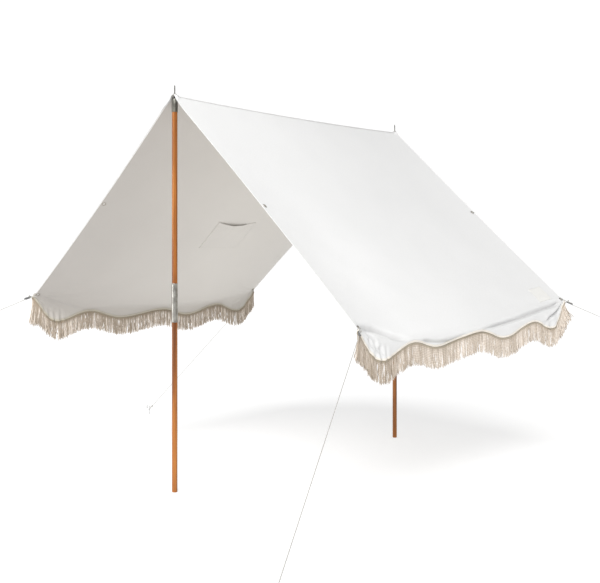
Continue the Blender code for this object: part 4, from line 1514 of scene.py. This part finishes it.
def make_poles():
    """Turned wooden halves, their joining sleeve and the spiked ferrule."""
    r = POLE_RADIUS
    bottom, top = FERRULE_SPAN
    wood_top = top - 0.0043
    for end_name, y in POLE_PLACES.items():
        lower = [(0.0, 0.0), (r - 0.0028, 0.0), (r - 0.0010, 0.0007), (r - 0.0001, 0.0024), (r, 0.004)]
        lower += [(r, z) for z in np.linspace(0.06, POLE_JOINT - 0.004, 24)]
        lower += [(r - 0.0004, POLE_JOINT - 0.0012), (r - 0.0014, POLE_JOINT - 0.0003)]
        lower += [(0.0, POLE_JOINT - 0.0003)]
        upper = [(0.0, POLE_JOINT + 0.0003), (r - 0.0014, POLE_JOINT + 0.0003), (r, POLE_JOINT + 0.0018)]
        upper += [(r, z) for z in np.linspace(1.0, bottom - 0.0006, 24)]
        upper += [(r - 0.0006, wood_top - 0.0006), (0.0, wood_top)]
        s0, s1 = SLEEVE_SPAN
        s = SLEEVE_RADIUS
        sleeve = [(r + 0.0003, s0 + 0.0004), (s - 0.0004, s0), (s + 0.0002, s0 + 0.0006)]
        sleeve += [(s + 0.0002, s0 + 0.0022), (s - 0.0001, s0 + 0.0032)]
        sleeve += [(s - 0.0001, z) for z in np.linspace(s0 + 0.01, s1 - 0.01, 12)]
        sleeve += [(s - 0.0001, s1 - 0.0032), (s + 0.0002, s1 - 0.0022), (s + 0.0002, s1 - 0.0006)]
        sleeve += [(s - 0.0004, s1), (r + 0.0003, s1 - 0.0004)]
        f = FERRULE_RADIUS
        spike = SPIKE_RADIUS
        tip = [(r + 0.0003, bottom + 0.0003), (f - 0.0003, bottom), (f + 0.0002, bottom + 0.0006)]
        tip += [(f + 0.0002, bottom + 0.0020), (f, bottom + 0.0030), (f, bottom + 0.030), (f, top - 0.0022)]
        tip += [(f - 0.0006, top - 0.0008), (f - 0.0022, top), (spike + 0.0012, top), (spike, top + 0.0004)]
        tip += [(spike, SPIKE_TOP - 0.010), (spike * 0.93, SPIKE_TOP - 0.006)]
        tip += [(spike * 0.72, SPIKE_TOP - 0.0026), (spike * 0.38, SPIKE_TOP - 0.0007), (0.0, SPIKE_TOP)]
        tip += [(0.0, wood_top + 0.0006), (r + 0.0003, wood_top + 0.0006)]
        for suffix, profile, closed, material, slot in (
                ("_pole_lower", lower, False, POLE_WOOD, "pole_wood"),
                ("_pole_upper", upper, False, POLE_WOOD, "pole_wood"),
                ("_pole_sleeve", sleeve, True, POLE_STEEL, "pole_steel"),
                ("_pole_tip", tip, True, SHADED_TIP_STEEL, "pole_steel")):
            parts = Parts()
            add_turned(parts, profile, (0.0, y, 0.0), UP, 48, closed)
            piece = parts.piece(end_name + suffix.replace("_pole", "_post"), [material])
            weld(piece, 0.000001)
            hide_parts(end_name + suffix)


def corner_axes(corner):
    """Place and axes at an eave eyelet: outward along the cloth, sideways, and normal."""
    name = "corner_eyelet_" + corner
    side_name, u, v = EYELETS[name]
    end_name = corner.split("_")[0]
    origin, normal = eyelet_axis(name)
    outward = eave_corner(side_name, end_name) - panel(side_name, u, v)
    outward = unit(outward - normal * outward.dot(normal))
    return origin, outward, np.cross(normal, outward), normal


# Holes of a tensioner: how far out from the eyelet, and how far sideways, then steps round one
NEAR_HOLE = (BAR_START + 0.008, 0.0030)
FAR_HOLE = (BAR_START + BAR_LENGTH - 0.008, 0.0)
HOLE_STEPS = 20


def slab_outline(length, width):
    """Round-ended outline of the tensioner bar."""
    half = length / 2 - width / 2
    turns = [math.radians(angle) for angle in np.linspace(-90.0, 90.0, 7)]
    right = [(half + width / 2 * math.cos(turn), width / 2 * math.sin(turn)) for turn in turns]
    return np.array(right + [(-x, -y) for x, y in right])


def make_tensioner(corner):
    """A flat moulded bar with rounded ends and two eased holes."""
    origin, outward, sideways, normal = corner_axes(corner)
    middle = BAR_START + BAR_LENGTH / 2
    bm = bmesh.new()
    outline = slab_outline(BAR_LENGTH, BAR_WIDTH * 0.98)
    levels = ((-0.5, 0.86), (-0.42, 0.955), (-0.25, 1.0), (0.25, 1.0), (0.42, 0.955), (0.5, 0.86))
    rings = []
    for level, share in levels:
        inset = (1.0 - share) * BAR_WIDTH / 2
        ring = outline - unit(outline) * inset
        rings.append([bm.verts.new((x, y, level * BAR_THICKNESS)) for x, y in ring])
    for lower, upper in zip(rings, rings[1:]):
        for k in range(len(outline)):
            on = (k + 1) % len(outline)
            bm.faces.new((lower[k], lower[on], upper[on], upper[k]))
    bm.faces.new(rings[0][::-1])
    bm.faces.new(rings[-1])
    mesh = bpy.data.meshes.new("tension_bar_" + corner)
    bm.to_mesh(mesh)
    bm.free()
    bar = linked("tension_bar_" + corner, mesh)
    for name, (along, across) in (("near", NEAR_HOLE), ("far", FAR_HOLE)):
        cutter = bmesh.new()
        profile = ((0.0036, 0.0035), (0.0027, 0.0021), (BAR_HOLE, 0.0012), (BAR_HOLE, -0.0012),
                   (0.0027, -0.0021), (0.0036, -0.0035))
        rings = []
        for radius, height in profile:
            rings.append([cutter.verts.new((
                along - middle + radius * math.cos(turn), across + radius * math.sin(turn), height))
                for turn in np.arange(HOLE_STEPS) * (2.0 * math.pi / HOLE_STEPS)])
        for upper, lower in zip(rings, rings[1:]):
            for k in range(HOLE_STEPS):
                on = (k + 1) % HOLE_STEPS
                cutter.faces.new((upper[k], lower[k], lower[on], upper[on]))
        cutter.faces.new(rings[0])
        cutter.faces.new(rings[-1][::-1])
        hole_mesh = bpy.data.meshes.new("hole")
        cutter.to_mesh(hole_mesh)
        cutter.free()
        hole = linked("hole_" + name, hole_mesh)
        cut = bar.modifiers.new("hole_" + name, "BOOLEAN")
        cut.operation = "DIFFERENCE"
        cut.solver = "EXACT"
        cut.object = hole
    shown = bar.evaluated_get(bpy.context.evaluated_depsgraph_get())
    final = bpy.data.meshes.new_from_object(shown)
    bar.modifiers.clear()
    for hole in [o for o in bpy.context.scene.objects if o.name.startswith("hole_")]:
        bpy.data.objects.remove(hole)
    turn = np.stack([outward, sideways, normal], axis=1)
    co = np.array([v.co for v in final.vertices]) @ turn.T + (origin + outward * middle)
    final.vertices.foreach_set("co", co.astype(np.float32).ravel())
    final.materials.clear()
    final.materials.append(BAR_PLASTIC)
    final.update()
    bar.data = final
    edge = bar.modifiers.new("eased", "BEVEL")
    edge.width = 0.0003
    edge.segments = 2
    edge.limit_method = "ANGLE"
    edge.angle_limit = math.radians(28.0)
    for face in final.polygons:
        face.use_smooth = True
    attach(bar, "root")
    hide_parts("tensioner_" + corner)


def knot_path(middle, ahead, side, up, size):
    """A small overhand knot: one strand twice round itself."""
    t = np.linspace(0.0, 2.0 * math.pi, 60)
    x = np.sin(t) + 2.0 * np.sin(2.0 * t)
    y = np.cos(t) - 2.0 * np.cos(2.0 * t)
    z = -np.sin(3.0 * t)
    return middle + size * (x[:, None] * ahead + y[:, None] * side + 1.1 * z[:, None] * up)


def make_guy_line(corner):
    """Rope from its knot on the tensioner, through the eyelet and back, to the peg."""
    origin, outward, sideways, normal = corner_axes(corner)
    near, near_side = NEAR_HOLE
    far, far_side = FAR_HOLE
    seat = EYELET_HOLE * math.cos(math.pi / 12) - ROPE_RADIUS - 0.0003
    local = (
        (near, near_side, 0.0078), (near, near_side, 0.0050), (near, near_side, 0.0),
        (near - 0.001, near_side, -0.0055), (near - 0.007, 0.0022, -0.0072),
        (0.018, 0.0010, -0.0066), (0.0080, 0.0, -0.0074), (seat, 0.0, -0.0034),
        (seat, 0.0, 0.0034), (0.0080, -0.0006, 0.0074), (0.020, -0.0026, 0.0066),
        (near, -0.0042, 0.0056), (far - 0.010, -0.0030, 0.0056), (far - 0.002, -0.0004, 0.0050),
        (far, far_side, 0.0), (far + 0.001, far_side, -0.0050),
    )
    start = np.array([origin + outward * a + sideways * b + normal * c for a, b, c in local])
    eye = np.array((*PEGS[corner], PEG_EYE_HEIGHT))
    climb = unit(start[-1] - eye)
    level = unit(np.array((climb[0], climb[1], 0.0)))
    across = np.array((-level[1], level[0], 0.0))
    reach = PEG_RADIUS + ROPE_RADIUS + 0.0006
    far_reach = reach / climb.dot(level)
    leave = start[-1] - climb * 0.012
    loop = (
        (0.060, 0.0), (0.026, 0.0030), (0.010, reach), (0.0, reach * 1.02),
        (-far_reach * 0.75, reach * 0.75), (-far_reach * 1.04, 0.0),
        (-far_reach * 0.75, -reach * 0.75), (0.0, -reach * 1.02), (0.010, -reach),
        (0.026, -0.0030), (0.040, -0.0030),
    )
    end = np.array([eye + climb * a + across * b for a, b in loop])
    run = end[0] - leave
    run_steps = int(np.linalg.norm(run) / 0.03)
    straight = leave + run * np.linspace(0.0, 1.0, run_steps + 1)[1:-1, None]
    path = np.concatenate([smooth_path(start, 7), leave[None], straight, smooth_path(end, 8)])
    parts = Parts()
    add_tube(parts, path, ROPE_RADIUS, 10, hint=sideways, tone=0.75)
    knot = knot_path(start[0] + normal * 0.0016, outward, sideways, normal, 0.00135)
    add_tube(parts, knot, 0.00150, 8, hint=normal, tone=0.8)
    t = np.linspace(0.0, 1.0, 64)
    wrap = (eye + climb * (0.024 + 0.010 * t)[:, None]
            + (across[None] * np.cos(t * 19.0)[:, None] * 0.0066
               + np.cross(climb, across)[None] * np.sin(t * 19.0)[:, None] * 0.0042))
    add_tube(parts, wrap, 0.00160, 8, hint=climb, tone=0.7)
    rope = parts.piece("guy_rope_" + corner, [ROPE_COTTON])
    weld(rope)
    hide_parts("guy_line_" + corner)


def make_peg(corner):
    """A hooked steel peg with a rounded end."""
    foot = np.array((*PEGS[corner], 0.0))
    away = foot - np.array(EAVE_EYELETS[corner])
    away[2] = 0.0
    away = unit(away)
    bend = 0.011
    shank = PEG_HEIGHT - bend
    path = [foot, foot + UP * 0.004]
    path += [foot + UP * z for z in np.linspace(0.012, shank, 5)]
    for angle in np.radians(np.arange(12, 181, 12)):
        path.append(foot + UP * (shank + bend * math.sin(angle)) + away * bend * (1.0 - math.cos(angle)))
    drop = path[-1]
    path += [drop - UP * z for z in (0.004, 0.0075, 0.0088, 0.0096, 0.0100)]
    sizes = np.full(len(path), PEG_RADIUS)
    sizes[-4:] = PEG_RADIUS * np.array((1.0, 0.93, 0.76, 0.42))
    parts = Parts()
    add_tube(parts, np.array(path), sizes, 20, hint=np.cross(away, UP))
    peg = parts.piece("ground_peg_" + corner, [PEG_STEEL])
    weld(peg)
    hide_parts("peg_" + corner)


# Floor, light and camera

def make_stage():
    bm = bmesh.new()
    bmesh.ops.create_grid(bm, x_segments=2, y_segments=2, size=60.0)
    mesh = bpy.data.meshes.new("pale_floor")
    bm.to_mesh(mesh)
    bm.free()
    floor = linked("pale_floor", mesh)
    finish = Finish("pale_floor", FLOOR_GREY, 0.9)
    finish.set("Emission Color", (1.0, 1.0, 1.0))
    finish.set("Emission Strength", FLOOR_GLOW)
    mesh.materials.append(finish.material)


def make_light():
    """A white backdrop, an even sky, a broad key from the front right, a fill from the front left."""
    world = bpy.data.worlds.new("studio")
    bpy.context.scene.world = world
    world.use_nodes = True
    tree = world.node_tree
    sky = tree.nodes["Background"]
    sky.inputs["Color"].default_value = (1.0, 1.0, 1.0, 1.0)
    sky.inputs["Strength"].default_value = SKY
    backdrop = tree.nodes.new("ShaderNodeBackground")
    backdrop.inputs["Color"].default_value = (1.0, 1.0, 1.0, 1.0)
    backdrop.inputs["Strength"].default_value = BACKDROP
    seen = tree.nodes.new("ShaderNodeLightPath")
    choice = tree.nodes.new("ShaderNodeMixShader")
    tree.links.new(seen.outputs["Is Camera Ray"], choice.inputs[0])
    tree.links.new(sky.outputs[0], choice.inputs[1])
    tree.links.new(backdrop.outputs[0], choice.inputs[2])
    tree.links.new(choice.outputs[0], tree.nodes["World Output"].inputs["Surface"])
    lamp = bpy.data.lights.new("key", "SUN")
    lamp.energy = SUN
    lamp.angle = SUN_SPREAD
    key = linked("key", lamp)
    key.rotation_euler = Vector(SUN_FROM).to_track_quat("Z", "Y").to_euler()
    lamp = bpy.data.lights.new("left_fill", "AREA")
    lamp.shape = "RECTANGLE"
    lamp.size, lamp.size_y = FILL_SIZE
    lamp.energy = FILL_POWER
    fill = linked("left_fill", lamp)
    fill.location = FILL_FROM
    fill.rotation_euler = (Vector(FILL_TOWARDS) - Vector(FILL_FROM)).to_track_quat("-Z", "Y").to_euler()
    bpy.context.scene.view_settings.view_transform = "Standard"


def make_camera():
    lens = bpy.data.cameras.new("camera")
    lens.lens = LENS_LENGTH
    lens.sensor_width = 36.0
    lens.sensor_fit = "HORIZONTAL"
    lens.shift_y = LENS_SHIFT
    lens.clip_end = 300.0
    camera = linked("camera", lens)
    camera.location = CAMERA_PLACE
    camera.rotation_euler = (math.pi / 2, 0.0, CAMERA_TURN)
    bpy.context.scene.camera = camera


make_camera()
make_light()
make_stage()
canopy, canopy_points = make_canopy()
trim = []
outside_stitches = Parts()
inside_stitches = Parts()
for side_name in SIDES:
    for end_name in ("front", "rear"):
        trim.append(make_side_hem(canopy_points, side_name, end_name))
        line, lean = canopy_edge(canopy_points, side_name, end_name, EDGE_SEAM)
        add_stitches(outside_stitches, line[4:-6], lean[4:-6])
        add_stitches(inside_stitches, (line - lean * BEHIND_EDGE)[4:-6], -lean[4:-6])
    binding, middle, out = make_binding(canopy_points, side_name)
    header = make_header(side_name, middle, out)
    fringe = make_fringe(side_name, middle, out)
    trim += [binding, header, fringe]
    for face, parts in ((1.0, outside_stitches), (-1.0, inside_stitches)):
        add_stitches(parts, middle + out * face * OFF_BINDING + UP * 0.0005, out * face)
seam, seam_points = make_ridge_seam()
for share, row in ((-1.0, seam_points[1]), (1.0, seam_points[-2])):
    lean = unit(stack(share * 0.75, 0.0, 1.0) + np.zeros((len(row), 3)))
    add_stitches(outside_stitches, row + lean * OFF_SEAM, lean)
pocket, pocket_hem, pocket_points = make_pocket()
into_tent = inward(SIDES["left"])
for line in (pocket_points[:, 1], pocket_points[:, -2], pocket_points[-2], pocket_points[7]):
    add_stitches(inside_stitches, line + into_tent * OFF_POCKET, unit(np.tile(into_tent, (len(line), 1))))
patch, patch_points, patch_normal = make_patch()
for rows, columns in ((slice(2, -2), 1), (slice(2, -2), -2), (1, slice(1, -1)), (-2, slice(1, -1))):
    add_stitches(
        outside_stitches, patch_points[rows, columns] + patch_normal[rows, columns] * OFF_PATCH,
        patch_normal[rows, columns], step=0.0046, length=0.0032)
for name, parts in (("stitches_outside", outside_stitches), ("stitches_inside", inside_stitches)):
    rows = parts.piece(name, [SEWING_THREAD])
    trim.append(rows)
make_eyelets()
make_ridge_eyelets()
make_poles()
for corner in EAVE_EYELETS:
    make_tensioner(corner)
    make_guy_line(corner)
    make_peg(corner)
